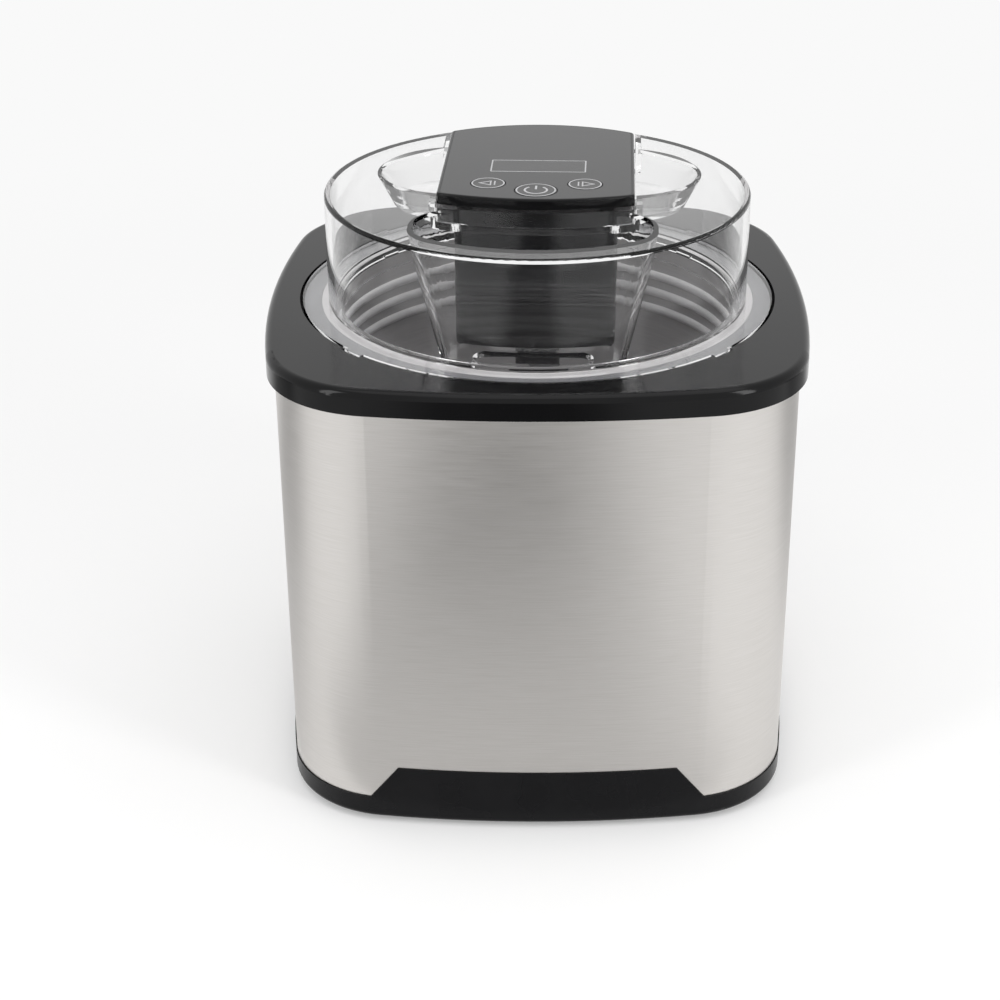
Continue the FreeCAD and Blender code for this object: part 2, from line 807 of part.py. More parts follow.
# Levels of the lid and the motor unit
lid_top = rim_top + size("lid_rise")
channel_floor = lid_top - size("channel_depth")
slab_bottom = channel_floor + gap
slab_top = lid_top + size("slab_rise")
cover_bottom = slab_bottom + size("pod_flange")
panel_bottom = slab_top - size("panel_thick")
skin_bottom = panel_bottom - size("cover_skin")
pod_bottom = slab_bottom - size("pod_depth")
gear_floor = pod_bottom + size("pod_floor")
boss_bottom = pod_bottom - size("pod_boss_drop")
boss_top = gear_floor + size("pod_boss_stand")
output_bottom = gear_floor + size("gear_clear")
output_top = output_bottom + size("output_width")
wheel_bottom = output_top + size("layer_gap")
wheel_top = wheel_bottom + size("wheel_width")
plate_bottom = wheel_top + size("plate_clear")
plate_top = plate_bottom + size("plate_thick")
motor_top = plate_top + size("motor_height")
hub_top = boss_bottom - size("hub_clear")
socket_floor = hub_top - size("socket_depth")
drive_tip = hub_top - size("drive_length")

# Shaft places along the middle line and the pod that goes round them
output_tip = size("second_module") * (size("output_teeth") / 2 + 1)
idler_back = size("second_module") * (size("small_teeth") + size("output_teeth")) / 2
motor_back = idler_back + size("first_module") * (size("pinion_teeth") + size("wheel_teeth")) / 2
pod_front = output_tip + size("gear_room") + size("pod_wall")
pod_back = motor_back + size("motor_radius") + size("motor_room") + size("pod_wall")
post_side = size("pod_half") - size("pod_wall") - size("post_inset")
post_front = pod_front - size("pod_wall") - size("post_inset")
post_back = pod_back - size("pod_wall") - size("post_inset")
post_places = [(-post_side, -post_front), (post_side, -post_front)]
post_places += [(post_side, post_back), (-post_side, post_back)]
head_screw_side = (size("pod_half") + slab_half) / 2
head_screw_back = pod_back - size("pod_corner")
head_screw_places = [(x, size("head_screw_front")) for x in (-head_screw_side, head_screw_side)]
head_screw_places += [(head_screw_side, head_screw_back), (-head_screw_side, head_screw_back)]
board_half = size("pod_half") - size("pod_wall") - size("board_inset")
board_side = board_half - size("board_post_inset")
board_screw_front = gap - post_front
board_screw_back = size("board_back") - size("post_inset")
board_screw_places = [(-board_side, board_screw_front), (board_side, board_screw_front)]
board_screw_places += [(board_side, board_screw_back), (-board_side, board_screw_back)]
buttons = {
    "button_power": (Size("0"), -size("power_front"), size("power_radius")),
    "button_left": (-size("step_side"), -size("step_front"), size("step_radius")),
    "button_right": (size("step_side"), -size("step_front"), size("step_radius")),
}
window_half = size("window_length") / 2
window_front = size("window_back") - size("window_width") / 2
window_rear = size("window_back") + size("window_width") / 2
gland_level = (slab_bottom + panel_bottom) / 2


def make_paddle():
    body = new_body("paddle_blade")
    sketch = new_sketch(body, "XZ_Plane")
    foot = bowl_radius(paddle_bottom) - size("paddle_gap")
    top = bowl_radius(paddle_top) - size("paddle_gap")
    bar = size("paddle_bar")
    polygon(sketch, [(-foot, paddle_bottom), (foot, paddle_bottom), (top, paddle_top), (-top, paddle_top)])
    inner = size("hub_radius") + bar / 2
    low = paddle_bottom + bar
    high = paddle_top - bar
    polygon(sketch, [(inner, low), (foot - bar, low), (top - bar, high), (inner, high)])
    polygon(sketch, [(-inner, low), (bar - foot, low), (bar - top, high), (-inner, high)])
    feature = pad(body, sketch, size("paddle_thick"))
    feature.Midplane = True
    hub = cylinder("paddle_hub", size("hub_radius"), paddle_bottom, hub_top)
    solid = fuse("paddle_solid", [body, hub])
    bore = size("pivot_radius") + size("slide_gap")
    tools = [cylinder("paddle_bore", bore, paddle_bottom - overcut, pivot_top + size("paddle_lift"))]
    socket = size("shaft_radius") + size("drive_gap")
    tools.append(hexagon("paddle_socket", socket, socket_floor, hub_top + overcut))
    lid_node(cut("paddle_cut", solid, tools), "paddle")


def scoop_cones(name, grow, bottom):
    # One tapered finger well on each side of the motor unit.
    pieces = []
    for side, label in ((-1, "left"), (1, "right")):
        item = doc.addObject("Part::Cone", f"{name}_{label}")
        bind(item, Radius1=scoop_foot_radius + grow, Radius2=scoop_radius + grow)
        bind(item, Height=lid_top - bottom)
        pieces.append(stand(item, size("scoop_side") * side, size("scoop_back"), bottom))
    return fuse(name, pieces)


def middle_block(name, half):
    reach = lid_radius
    return block(name, -half, half, -reach, reach, rim_top, lid_top + overcut)


def make_lid():
    wall = size("lid_wall")
    inside = lid_radius - wall
    skirt_out = bowl_mouth - size("slide_gap") * 2
    skirt_in = skirt_out - size("skirt_wall")
    skirt_bottom = flange_bottom - size("skirt_depth")
    section = [(skirt_in, skirt_bottom), (skirt_out, skirt_bottom), (skirt_out, flange_bottom)]
    section += [(flange_radius, flange_bottom), (flange_radius, rim_top), (lid_radius, rim_top)]
    section += [(lid_radius, lid_top, size("lid_edge")), (0, lid_top), (0, lid_top - wall)]
    section += [(inside, lid_top - wall), (inside, rim_top), (skirt_in, rim_top)]
    drum = lathe("lid_drum", section)
    plug = [(0, rim_top), (lid_radius, rim_top), (lid_radius, lid_top, size("lid_edge")), (0, lid_top)]
    envelope = lathe("lid_envelope", plug)
    gap_round = size("slab_gap")
    channel_under = channel_floor - wall
    channel_stock = slab_prism("channel_stock", gap_round + wall, channel_under, lid_top, lid_radius + wall)
    channel = common("channel_walls", channel_stock, envelope)
    scoop_bottom = lid_top - size("scoop_depth")
    scoop_stock = scoop_cones("scoop_outer", wall, scoop_bottom - wall)
    channel_half = slab_half + gap_round
    scoops = cut("scoop_walls", scoop_stock, [middle_block("scoop_inside", channel_half - wall)])
    chute_bottom = lid_top - size("chute_depth")
    chute = chute_funnel("chute_walls", wall, chute_bottom, lid_top)
    lug_end = flange_radius + size("lug_reach")
    lugs = lug_blocks("lid_lug", size("lid_turn"), Size("0"), lug_end, flange_bottom, rim_top)
    solid = fuse("lid_solid", [drum, channel, scoops, chute] + lugs)
    tools = [slab_prism("channel_void", gap_round, channel_floor, lid_top + overcut, lid_radius + overcut)]
    scoop_inner = scoop_cones("scoop_inner", Size("0"), scoop_bottom)
    tools.append(cut("scoop_void", scoop_inner, [middle_block("scoop_middle", channel_half)]))
    tools.append(chute_funnel("chute_void", Size("0"), chute_bottom + wall, lid_top))
    half = size("pod_half") + gap_round
    corner = size("pod_corner") + gap_round
    pod_hole = [-(pod_front + gap_round), pod_back + gap_round]
    pod_hole += [channel_under - overcut, channel_floor + overcut]
    tools.append(box_prism("pod_hole", half, *pod_hole, corner))
    slot = [-size("slot_front"), -size("slot_back"), chute_bottom - overcut, chute_bottom + wall + overcut]
    slot_corner = (size("slot_front") - size("slot_back")) / 2 - gap
    tools.append(box_prism("chute_slot", size("slot_half"), *slot, slot_corner))
    lid_node(cut("lid", solid, tools), "lid_cover")


def make_head():
    wall = size("cover_wall")
    inset = -size("panel_inset")
    cover_stock = slab_prism("cover_stock", Size("0"), cover_bottom, slab_top, None, size("slab_edge"))
    hollow = slab_prism("cover_hollow", -wall, cover_bottom - overcut, skin_bottom)
    recess = slab_prism("panel_recess", inset, panel_bottom, slab_top + overcut)
    shell = cut("cover_shell", cover_stock, [hollow, recess])
    board_top = skin_bottom - size("board_drop")
    board_bottom = board_top - size("board_thick")
    head_boss = size("fine_radius") + wall
    boss_end = skin_bottom + gap
    post_radius = size("board_post_radius")
    bosses = holes("head_boss", head_screw_places, head_boss, cover_bottom, boss_end)
    bosses += holes("board_post", board_screw_places, post_radius, board_top, boss_end)
    solid = fuse("cover_solid", [shell] + bosses)
    openings = []
    sheet_openings = []
    skin_span = [skin_bottom - overcut, panel_bottom + overcut]
    sheet_span = [panel_bottom - overcut, slab_top + overcut]
    for label, (x, y, radius) in buttons.items():
        openings.append(cylinder(f"{label}_hole", radius, *skin_span, x, y))
        sheet_openings.append(cylinder(f"{label}_panel_hole", radius, *sheet_span, x, y))
    frame = [window_half, window_front, window_rear]
    openings.append(box_prism("window_hole", *frame, *skin_span, size("window_corner")))
    sheet_openings.append(box_prism("panel_window_hole", *frame, *sheet_span, size("window_corner")))
    pilot = size("fine_radius")
    pilot_top = skin_bottom - gap
    tools = openings + holes("head_pilot", head_screw_places, pilot, cover_bottom - overcut, pilot_top)
    tools += holes("board_pilot", board_screw_places, pilot, board_top - overcut, pilot_top)
    tools.append(gland_stock("cover_gland_seat", size("gland_radius"), size("gland_length") + overcut))
    lid_node(cut("cover", solid, tools), "head_cover")
    panel_stock = slab_prism("panel_stock", inset - gap, panel_bottom, slab_top)
    lid_node(cut("panel", panel_stock, sheet_openings), "control_panel")
    pane = [window_half - gap, window_front + gap, window_rear - gap, skin_bottom, slab_top]
    lid_node(box_prism("window", *pane, size("window_corner") - gap), "display_window")
    for label, (x, y, radius) in buttons.items():
        make_button(label, x, y, radius - size("slide_gap"))
    make_board(board_bottom, board_top)


def make_button(label, x, y, radius):
    flange_top = skin_bottom - gap
    flange_under = flange_top - size("cap_flange_thick")
    cap = cylinder(f"{label}_cap", radius, flange_under, slab_top + size("cap_proud"), x, y)
    flange_radius = radius + size("cap_flange")
    flange = cylinder(f"{label}_flange", flange_radius, flange_under, flange_top, x, y)
    lid_node(fuse(f"{label}_solid", [cap, flange]), label)


def make_board(board_bottom, board_top):
    front = -(post_front + size("board_post_radius"))
    outline = [board_half, front, size("board_back")]
    stock = box_prism("board_stock", *outline, board_bottom, board_top, size("board_corner"))
    clear = size("fine_radius") + gap
    below = board_bottom - overcut
    bores = holes("board_hole", board_screw_places, clear, below, board_top + overcut)
    lid_node(cut("board", stock, bores), "control_board")
    margin = size("display_margin")
    side = window_half - margin
    module = [-side, side, window_front + margin, window_rear - margin, board_top, skin_bottom - gap]
    lid_node(single("display", block("display_stock", *module)), "display_module")
    pieces = []
    base = size("switch_side") / 2
    body_top = board_top + size("switch_height")
    plunger_top = skin_bottom - gap - size("cap_flange_thick") - size("cap_travel") - gap
    for label, (x, y, radius) in buttons.items():
        pieces.append(block(f"{label}_switch", x - base, x + base, y - base, y + base, board_top, body_top))
        pieces.append(cylinder(f"{label}_plunger", size("plunger_radius"), board_top, plunger_top, x, y))
    lid_node(fuse("switches", pieces), "tact_switches")
    length = size("board_thick") + size("fine_bite")
    head_bottom = board_bottom - size("fine_head")
    lid_node(screws("board_screw", board_screw_places, "fine", head_bottom, True, length), "board_screws")


def gland_stock(name, radius, length):
    # Lies along Y, with its outer end at the back of the slab.
    item = doc.addObject("Part::Cylinder", name)
    bind(item, Radius=radius, Height=length)
    item.Placement = Placement(Vector(0, 0, 0), Rotation(Vector(1, 0, 0), -90))
    return stand(item, 0, slab_back - size("gland_length"), gland_level)


def make_pod():
    flange = slab_prism("pod_flange_plate", Size("0"), slab_bottom, cover_bottom)
    half = size("pod_half")
    wall = size("pod_wall")
    tub = box_prism("pod_tub", half, -pod_front, pod_back, pod_bottom, cover_bottom, size("pod_corner"))
    boss = cylinder("pod_boss", size("pod_boss_radius"), boss_bottom, boss_top)
    shell = fuse("pod_shell", [flange, tub, boss])
    inner = [half - wall, wall - pod_front, pod_back - wall, gear_floor, cover_bottom + overcut]
    hollow = box_prism("pod_hollow", *inner, size("pod_corner") - wall)
    tub_open = cut("pod_open", shell, [cut("pod_hollow_round_boss", hollow, [boss])])
    posts = holes("pod_post", post_places, size("post_radius"), gear_floor - gap, plate_bottom)
    seat_top = output_bottom - size("slide_gap")
    pin_seat = cylinder("pin_seat", size("idler_hub_radius"), gear_floor - gap, seat_top, 0, idler_back)
    posts.append(pin_seat)
    solid = fuse("pod_solid", [tub_open] + posts)
    bush_radius = size("shaft_radius") + size("bush_wall")
    tools = [cylinder("pod_bush_seat", bush_radius, boss_bottom - overcut, boss_top + overcut)]
    pilot_end = plate_bottom - size("screw_bite")
    tools += holes("pod_pilot", post_places, size("fine_radius"), pilot_end, plate_bottom + overcut)
    tools.append(cylinder("pin_bore", size("idler_pin_radius"), gear_floor, output_bottom, 0, idler_back))
    head_seat_top = slab_bottom + size("fine_head") + gap
    seat_radius = size("fine_head_radius") + gap
    tools += holes("head_seat", head_screw_places, seat_radius, slab_bottom - overcut, head_seat_top)
    clear_radius = size("fine_radius") + gap
    tools += holes("head_clear", head_screw_places, clear_radius, slab_bottom, cover_bottom + overcut)
    tools.append(gland_stock("pod_gland_seat", size("gland_radius"), size("gland_length") + overcut))
    lid_node(cut("pod", solid, tools), "head_pod")
    length = skin_bottom - head_seat_top - gap * 2
    lid_node(screws("head_screw", head_screw_places, "fine", slab_bottom + gap, True, length), "head_screws")
    gland = gland_stock("gland_body", size("gland_radius"), size("gland_length"))
    bore = gland_stock("gland_hole", size("gland_bore"), size("gland_length") + overcut)
    start = gland_stock("gland_hole_start", size("gland_bore"), size("gland_length"))
    stand(start, 0, slab_back - size("gland_length") - overcut, gland_level)
    lid_node(cut("gland", gland, [bore, start]), "cord_gland")


# Gear train

def gear_blank(name, teeth_alias, module_alias, bottom, top, first_tooth):
    # Involute teeth of straight facets: four points per flank, thinned a little for backlash.
    # The root lies 1.25 modules under the pitch circle, the usual depth of a cut tooth.
    teeth = round(number_of(size(teeth_alias)))
    module = number_of(size(module_alias))
    pressure = math.radians(number_of(size("pressure_angle")))
    pitch = module * teeth / 2
    base = pitch * math.cos(pressure)
    tip = pitch + module
    root = pitch - 1.25 * module
    involute = math.tan(pressure) - pressure
    half_tooth = math.pi / (2 * teeth) - number_of(size("tooth_thinning")) / (2 * pitch)
    start = max(base, root)
    flank = [start + (tip - start) * step / 3 for step in range(4)]
    profile = []
    for radius in flank:
        angle = math.acos(base / radius)
        profile.append((radius, half_tooth + involute - (math.tan(angle) - angle)))
    if base > root:
        profile.insert(0, (root, profile[0][1]))
    outline = []
    for tooth in range(teeth):
        heading = math.radians(first_tooth) + 2 * math.pi * tooth / teeth
        for radius, angle in profile:
            outline.append(Vector(radius * math.cos(heading - angle), radius * math.sin(heading - angle), 0))
        for radius, angle in reversed(profile):
            outline.append(Vector(radius * math.cos(heading + angle), radius * math.sin(heading + angle), 0))
    face = Part.Face(Part.makePolygon(outline + outline[:1]))
    item = doc.addObject("Part::Feature", name)
    item.Shape = face.extrude(Vector(0, 0, number_of(top) - number_of(bottom)))
    return item


def make_gears():
    shaft = size("shaft_radius")
    toward_back = 90
    small_half_pitch = 180 / round(number_of(size("small_teeth")))
    pinion_half_pitch = 180 / round(number_of(size("pinion_teeth")))
    train = ("output_teeth", "second_module")
    output = gear_blank("output_blank", *train, output_bottom, output_top, toward_back)
    stand(output, 0, 0, output_bottom)
    output_bore = cylinder("output_bore", shaft, output_bottom - overcut, output_top + overcut)
    lid_node(cut("output", output, [output_bore]), "output_gear")
    idler_top = plate_bottom - size("slide_gap")
    small_tooth = small_half_pitch - toward_back
    train = ("small_teeth", "second_module")
    small = gear_blank("small_blank", *train, output_bottom, wheel_bottom, small_tooth)
    stand(small, 0, idler_back, output_bottom)
    train = ("wheel_teeth", "first_module")
    wheel = gear_blank("wheel_blank", *train, wheel_bottom, wheel_top, toward_back)
    stand(wheel, 0, idler_back, wheel_bottom)
    hub = cylinder("idler_hub", size("idler_hub_radius"), wheel_bottom, idler_top, 0, idler_back)
    bore_radius = size("idler_pin_radius") + size("bearing_gap")
    bore = cylinder("idler_bore", bore_radius, output_bottom - overcut, idler_top + overcut, 0, idler_back)
    lid_node(cut("idler", fuse("idler_solid", [small, wheel, hub]), [bore]), "idler_gear")
    pin = cylinder("pin_stock", size("idler_pin_radius"), gear_floor, plate_top, 0, idler_back)
    lid_node(single("pin", pin), "idler_pin")
    train = ("pinion_teeth", "first_module")
    pinion_tooth = pinion_half_pitch - toward_back
    pinion = gear_blank("pinion_blank", *train, wheel_bottom, wheel_top, pinion_tooth)
    stand(pinion, 0, motor_back, wheel_bottom)
    motor_shaft = size("motor_shaft_radius")
    below = wheel_bottom - overcut
    pinion_bore = cylinder("pinion_bore", motor_shaft, below, wheel_top + overcut, 0, motor_back)
    lid_node(cut("pinion", pinion, [pinion_bore]), "motor_pinion")


def make_drive():
    shaft = size("shaft_radius")
    bush_radius = shaft + size("bush_wall")
    upper_top = plate_top + size("bush_wall")
    upper_bottom = plate_bottom - size("bush_wall") / 2
    shaft_top = upper_top + size("bush_wall") / 2
    spindle = cylinder("spindle_stock", shaft, boss_bottom - gap, shaft_top)
    collar_bottom_level = boss_top + gap
    collar = cylinder("spindle_collar", shaft + size("shaft_collar"), collar_bottom_level, output_bottom)
    drive = hexagon("drive_hex", shaft - size("bearing_gap"), drive_tip, boss_bottom)
    lid_node(fuse("drive", [spindle, collar, drive]), "drive_shaft")
    bore_radius = shaft + size("bearing_gap")
    spans = {"lower_bush": (boss_bottom, boss_top), "upper_bush": (upper_bottom, upper_top)}
    for label, (bottom, top) in spans.items():
        stock = cylinder(f"{label}_stock", bush_radius, bottom, top)
        bore = cylinder(f"{label}_bore", bore_radius, bottom - overcut, top + overcut)
        lid_node(cut(f"{label}_cut", stock, [bore]), label)
    side = size("pod_half") - size("pod_wall") - size("slide_gap")
    front = size("pod_wall") + size("slide_gap") - pod_front
    rear = pod_back - size("pod_wall") - size("slide_gap")
    corner = size("pod_corner") - size("pod_wall") - size("slide_gap")
    plate = box_prism("plate_stock", side, front, rear, plate_bottom, plate_top, corner)
    motor_screw_places = [(-size("motor_screw_side"), motor_back), (size("motor_screw_side"), motor_back)]
    span = (plate_bottom - overcut, plate_top + overcut)
    tools = [cylinder("plate_bush_hole", bush_radius, *span)]
    boss_hole = size("motor_boss_radius") + gap
    tools.append(cylinder("plate_motor_hole", boss_hole, *span, 0, motor_back))
    tools.append(cylinder("plate_pin_hole", size("idler_pin_radius"), *span, 0, idler_back))
    clear = size("fine_radius") + gap
    tools += holes("plate_screw_hole", post_places + motor_screw_places, clear, *span)
    lid_node(cut("plate", plate, tools), "gear_plate")
    length = size("plate_thick") + size("fine_bite")
    lid_node(screws("plate_screw", post_places, "fine", plate_top, False, length), "plate_screws")
    head_bottom = plate_bottom - size("fine_head")
    lid_node(screws("motor_screw", motor_screw_places, "fine", head_bottom, True, length), "motor_screws")
    can = cylinder("motor_stock", size("motor_radius"), plate_top, motor_top, 0, motor_back)
    boss = cylinder("motor_boss", size("motor_boss_radius"), plate_bottom, plate_top + gap, 0, motor_back)
    motor_shaft = size("motor_shaft_radius")
    shaft_end = motor_top - size("bush_wall")
    shaft_bore = motor_shaft + size("bearing_gap")
    bores = [cylinder("motor_bore", shaft_bore, plate_bottom - overcut, shaft_end + gap, 0, motor_back)]
    thread = (size("fine_radius"), plate_top - overcut, plate_top + size("fine_bite"))
    bores += holes("motor_thread", motor_screw_places, *thread)
    lid_node(cut("motor", fuse("motor_solid", [can, boss]), bores), "motor_can")
    shaft_tip = wheel_bottom - size("layer_gap") / 2
    spindle = cylinder("motor_spindle_stock", motor_shaft, shaft_tip, shaft_end, 0, motor_back)
    lid_node(single("motor_spindle", spindle), "motor_shaft")


make_base()
make_shell()
make_rim()
make_liner()
make_canister()
make_paddle()
make_lid()
make_head()
make_pod()
make_gears()
make_drive()
doc.recompute()

for item in doc.Objects:
    if "Invalid" in item.State or "Error" in item.State:
        raise RuntimeError(f"{item.Label} failed: {item.State}")
for item in nodes:
    if item.Shape.isNull() or not item.Shape.isValid():
        raise RuntimeError(f"{item.Label} has no valid shape")

os.makedirs("parts", exist_ok=True)
for item in nodes:
    item.Shape.exportStep(f"parts/{item.Label}.step")
    print(item.Label, len(item.Shape.Solids), round(item.Shape.Volume, 1))
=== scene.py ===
import math
import bpy
import numpy as np
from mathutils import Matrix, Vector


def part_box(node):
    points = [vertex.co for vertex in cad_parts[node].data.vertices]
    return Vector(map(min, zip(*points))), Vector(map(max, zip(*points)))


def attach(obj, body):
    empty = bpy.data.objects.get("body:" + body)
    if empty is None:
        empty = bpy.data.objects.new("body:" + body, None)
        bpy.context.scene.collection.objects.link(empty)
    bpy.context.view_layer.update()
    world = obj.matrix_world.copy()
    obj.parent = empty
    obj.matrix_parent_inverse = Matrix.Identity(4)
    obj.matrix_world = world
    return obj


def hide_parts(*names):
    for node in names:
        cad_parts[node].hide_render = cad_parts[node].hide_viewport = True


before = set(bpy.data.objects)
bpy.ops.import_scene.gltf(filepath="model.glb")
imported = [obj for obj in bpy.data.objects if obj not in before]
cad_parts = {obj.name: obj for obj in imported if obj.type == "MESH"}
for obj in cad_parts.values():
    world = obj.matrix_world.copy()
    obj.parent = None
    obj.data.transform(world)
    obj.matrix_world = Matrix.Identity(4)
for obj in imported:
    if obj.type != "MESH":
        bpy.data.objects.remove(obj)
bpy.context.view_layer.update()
print("frame loaded with", len(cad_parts), "nodes")

mm = 0.001
lidTurn = math.radians(-2.1)  # the lid's top stands turned against its lugs
lidCos = math.cos(lidTurn)
lidSin = math.sin(lidTurn)

# Camera and picture

pictureCamera = {
    "place": (0.0, -0.7826, 0.4860),
    "pitchDown": 26.6,  # degrees below the horizon
    "lens": 74.4,
    "sensor": 36.0,
    "shiftX": -0.0374,  # the body stands right of the picture's middle
    "clipNear": 0.01,
    "clipFar": 50.0,
}


def makeCamera(settings):
    data = bpy.data.cameras.new("pictureCamera")
    data.lens = settings["lens"]
    data.sensor_width = settings["sensor"]
    data.shift_x = settings["shiftX"]
    data.clip_start = settings["clipNear"]
    data.clip_end = settings["clipFar"]
    camera = bpy.data.objects.new("pictureCamera", data)
    camera.location = settings["place"]
    camera.rotation_euler = (math.radians(90.0 - settings["pitchDown"]), 0.0, 0.0)
    bpy.context.scene.collection.objects.link(camera)
    bpy.context.scene.camera = camera


makeCamera(pictureCamera)
bpy.context.scene.view_settings.view_transform = "Standard"
print("camera made")

# Colours, nodes and patterns


def hexLinear(text):
    # sRGB hex to linear light, channel by channel
    channels = [int(text[place:place + 2], 16) / 255 for place in (1, 3, 5)]
    curve = [c / 12.92 if c <= 0.04045 else ((c + 0.055) / 1.055) ** 2.4 for c in channels]
    return (*curve, 1.0)


def addNode(tree, kind, settings=None, inputs=None):
    # an input is a plain value, or a socket that is linked
    node = tree.nodes.new(kind)
    for name, value in (settings or {}).items():
        setattr(node, name, value)
    for name, value in (inputs or {}).items():
        if isinstance(value, bpy.types.NodeSocket):
            tree.links.new(value, node.inputs[name])
        else:
            node.inputs[name].default_value = value
    return node


def emptyMaterial(name):
    material = bpy.data.materials.new(name)
    material.use_nodes = True
    material.node_tree.nodes.clear()
    return material, material.node_tree


def shadedMaterial(material, shaderInputs):
    tree = material.node_tree
    shader = addNode(tree, "ShaderNodeBsdfPrincipled", inputs=shaderInputs)
    addNode(tree, "ShaderNodeOutputMaterial", inputs={"Surface": shader.outputs["BSDF"]})
    return material


noiseDetail = {"scratch": 4.0, "mark": 3.0, "cloud": 2.0, "grain": 2.0, "wave": 1.0}
noiseRoughness = 0.55
noiseSpan = {"From Min": 0.3, "From Max": 0.7}  # most of a noise's values lie in here


def patternNoise(tree, finish, kind):
    # noise whose blotches are finish[kind] millimetres across, in the object's own coordinates
    place = addNode(tree, "ShaderNodeTexCoord").outputs["Object"]
    scale = 1.0 / (np.broadcast_to(finish[kind], 3) * mm)
    spread = addNode(tree, "ShaderNodeMapping", inputs={"Vector": place, "Scale": tuple(scale)})
    noise = addNode(tree, "ShaderNodeTexNoise", inputs={
        "Vector": spread.outputs["Vector"], "Scale": 1.0,
        "Detail": noiseDetail[kind], "Roughness": noiseRoughness})
    return noise.outputs["Fac"]


def reliefInputs(tree, finish, tone, relief):
    # tone swings the roughness, relief raises the surface by the finish's depth
    rough = addNode(tree, "ShaderNodeMapRange", inputs={
        **noiseSpan, "Value": tone, "To Min": finish["roughLow"], "To Max": finish["roughHigh"]})
    bump = addNode(tree, "ShaderNodeBump", inputs={"Height": relief, "Distance": finish["depth"] * mm})
    return {"Roughness": rough.outputs["Result"], "Normal": bump.outputs["Normal"]}


def tonedInputs(tree, finish, tone, relief):
    # as above, and tone blends the finish's dark and light colours
    share = addNode(tree, "ShaderNodeMapRange", inputs={**noiseSpan, "Value": tone})
    colour = addNode(tree, "ShaderNodeMixRGB", inputs={
        "Fac": share.outputs["Result"],
        "Color1": hexLinear(finish["dark"]), "Color2": hexLinear(finish["light"])})
    return {"Base Color": colour.outputs["Color"], **reliefInputs(tree, finish, tone, relief)}


# Finishes


def brushedStainless(finish):
    # Stainless sheet brushed along the body: long fine scratches that draw highlights into upright bands.
    material, tree = emptyMaterial(finish["name"])
    scratch = patternNoise(tree, finish, "scratch")
    toned = tonedInputs(tree, finish, scratch, scratch)
    drift = addNode(tree, "ShaderNodeMapRange", inputs={
        **noiseSpan, "Value": patternNoise(tree, finish, "cloud"),
        "To Min": -finish["roughCloud"], "To Max": finish["roughCloud"]})
    rough = addNode(tree, "ShaderNodeMath", {"operation": "ADD"}, {
        0: toned["Roughness"], 1: drift.outputs["Result"]})
    around = addNode(tree, "ShaderNodeTangent", {"direction_type": "RADIAL", "axis": "Z"})
    return shadedMaterial(material, {
        **toned, "Metallic": finish["metallic"], "Anisotropic": finish["anisotropy"],
        "Roughness": rough.outputs["Value"], "Tangent": around.outputs["Tangent"]})


def mouldedPlastic(finish):
    # Moulded plastic: an even colour with faint flow clouds and the fine grain of its tool.
    material, tree = emptyMaterial(finish["name"])
    cloud = patternNoise(tree, finish, "cloud")
    grain = patternNoise(tree, finish, "grain")
    return shadedMaterial(material, {**tonedInputs(tree, finish, cloud, grain), "IOR": finish["ior"]})


def clearPlastic(finish):
    # Clear moulded styrene: see-through with bright edges, and faint waves left by the flow of the melt.
    material, tree = emptyMaterial(finish["name"])
    wave = patternNoise(tree, finish, "wave")
    return shadedMaterial(material, {
        **reliefInputs(tree, finish, wave, wave), "Base Color": hexLinear(finish["tint"]),
        "IOR": finish["ior"], "Transmission Weight": 1.0})


def workedMetal(finish):
    # Turned, stamped or plated metal: tool marks of the given spacing over a slightly uneven tone.
    material, tree = emptyMaterial(finish["name"])
    mark = patternNoise(tree, finish, "mark")
    return shadedMaterial(material, {**tonedInputs(tree, finish, mark, mark), "Metallic": finish["metallic"]})


def lacqueredBoard(finish):
    # Circuit board under solder lacquer: copper tracks show as lighter lines, square to each other.
    material, tree = emptyMaterial(finish["name"])
    tracks = addNode(tree, "ShaderNodeTexBrick", inputs={
        "Vector": addNode(tree, "ShaderNodeTexCoord").outputs["Object"],
        "Scale": 1.0 / (finish["spacing"] * mm), "Mortar Size": finish["trackShare"],
        "Color1": hexLinear(finish["dark"]), "Color2": hexLinear(finish["light"]),
        "Mortar": hexLinear(finish["copper"])})
    return shadedMaterial(material, {
        "Base Color": tracks.outputs["Color"], "IOR": finish["ior"], "Roughness": finish["rough"]})


# ABS from a polished tool: near black, with a clear sheen.
blackGloss = mouldedPlastic({
    "name": "glossBlackAbs", "dark": "#060607", "light": "#0b0b0c", "ior": 1.29,
    "roughLow": 0.10, "roughHigh": 0.15, "cloud": 30.0, "grain": 1.2, "depth": 0.002})
# ABS from a fine-blasted tool: near black, with a broad soft sheen.
blackSatin = mouldedPlastic({
    "name": "satinBlackAbs", "dark": "#08080a", "light": "#0e0e10", "ior": 1.27,
    "roughLow": 0.24, "roughHigh": 0.32, "cloud": 24.0, "grain": 0.6, "depth": 0.006})
# Face film: a shade lighter than the slab under it, with an even gloss.
panelGloss = mouldedPlastic({
    "name": "glossPanelFilm", "dark": "#171718", "light": "#1b1b1d", "ior": 1.43,
    "roughLow": 0.16, "roughHigh": 0.20, "cloud": 18.0, "grain": 0.9, "depth": 0.001})
# Moulded ABS buttons: the tone of the film round them, a little softer in gloss.
buttonGloss = mouldedPlastic({
    "name": "glossButtonAbs", "dark": "#161617", "light": "#1a1a1b", "ior": 1.46,
    "roughLow": 0.16, "roughHigh": 0.22, "cloud": 9.0, "grain": 0.5, "depth": 0.001})
# Moulded polypropylene, near black: dark behind the clear lid, with a faint sheen.
podPlastic = mouldedPlastic({
    "name": "darkPolypropylene", "dark": "#08080a", "light": "#0e0e10", "ior": 1.32,
    "roughLow": 0.16, "roughHigh": 0.24, "cloud": 16.0, "grain": 0.7, "depth": 0.008})
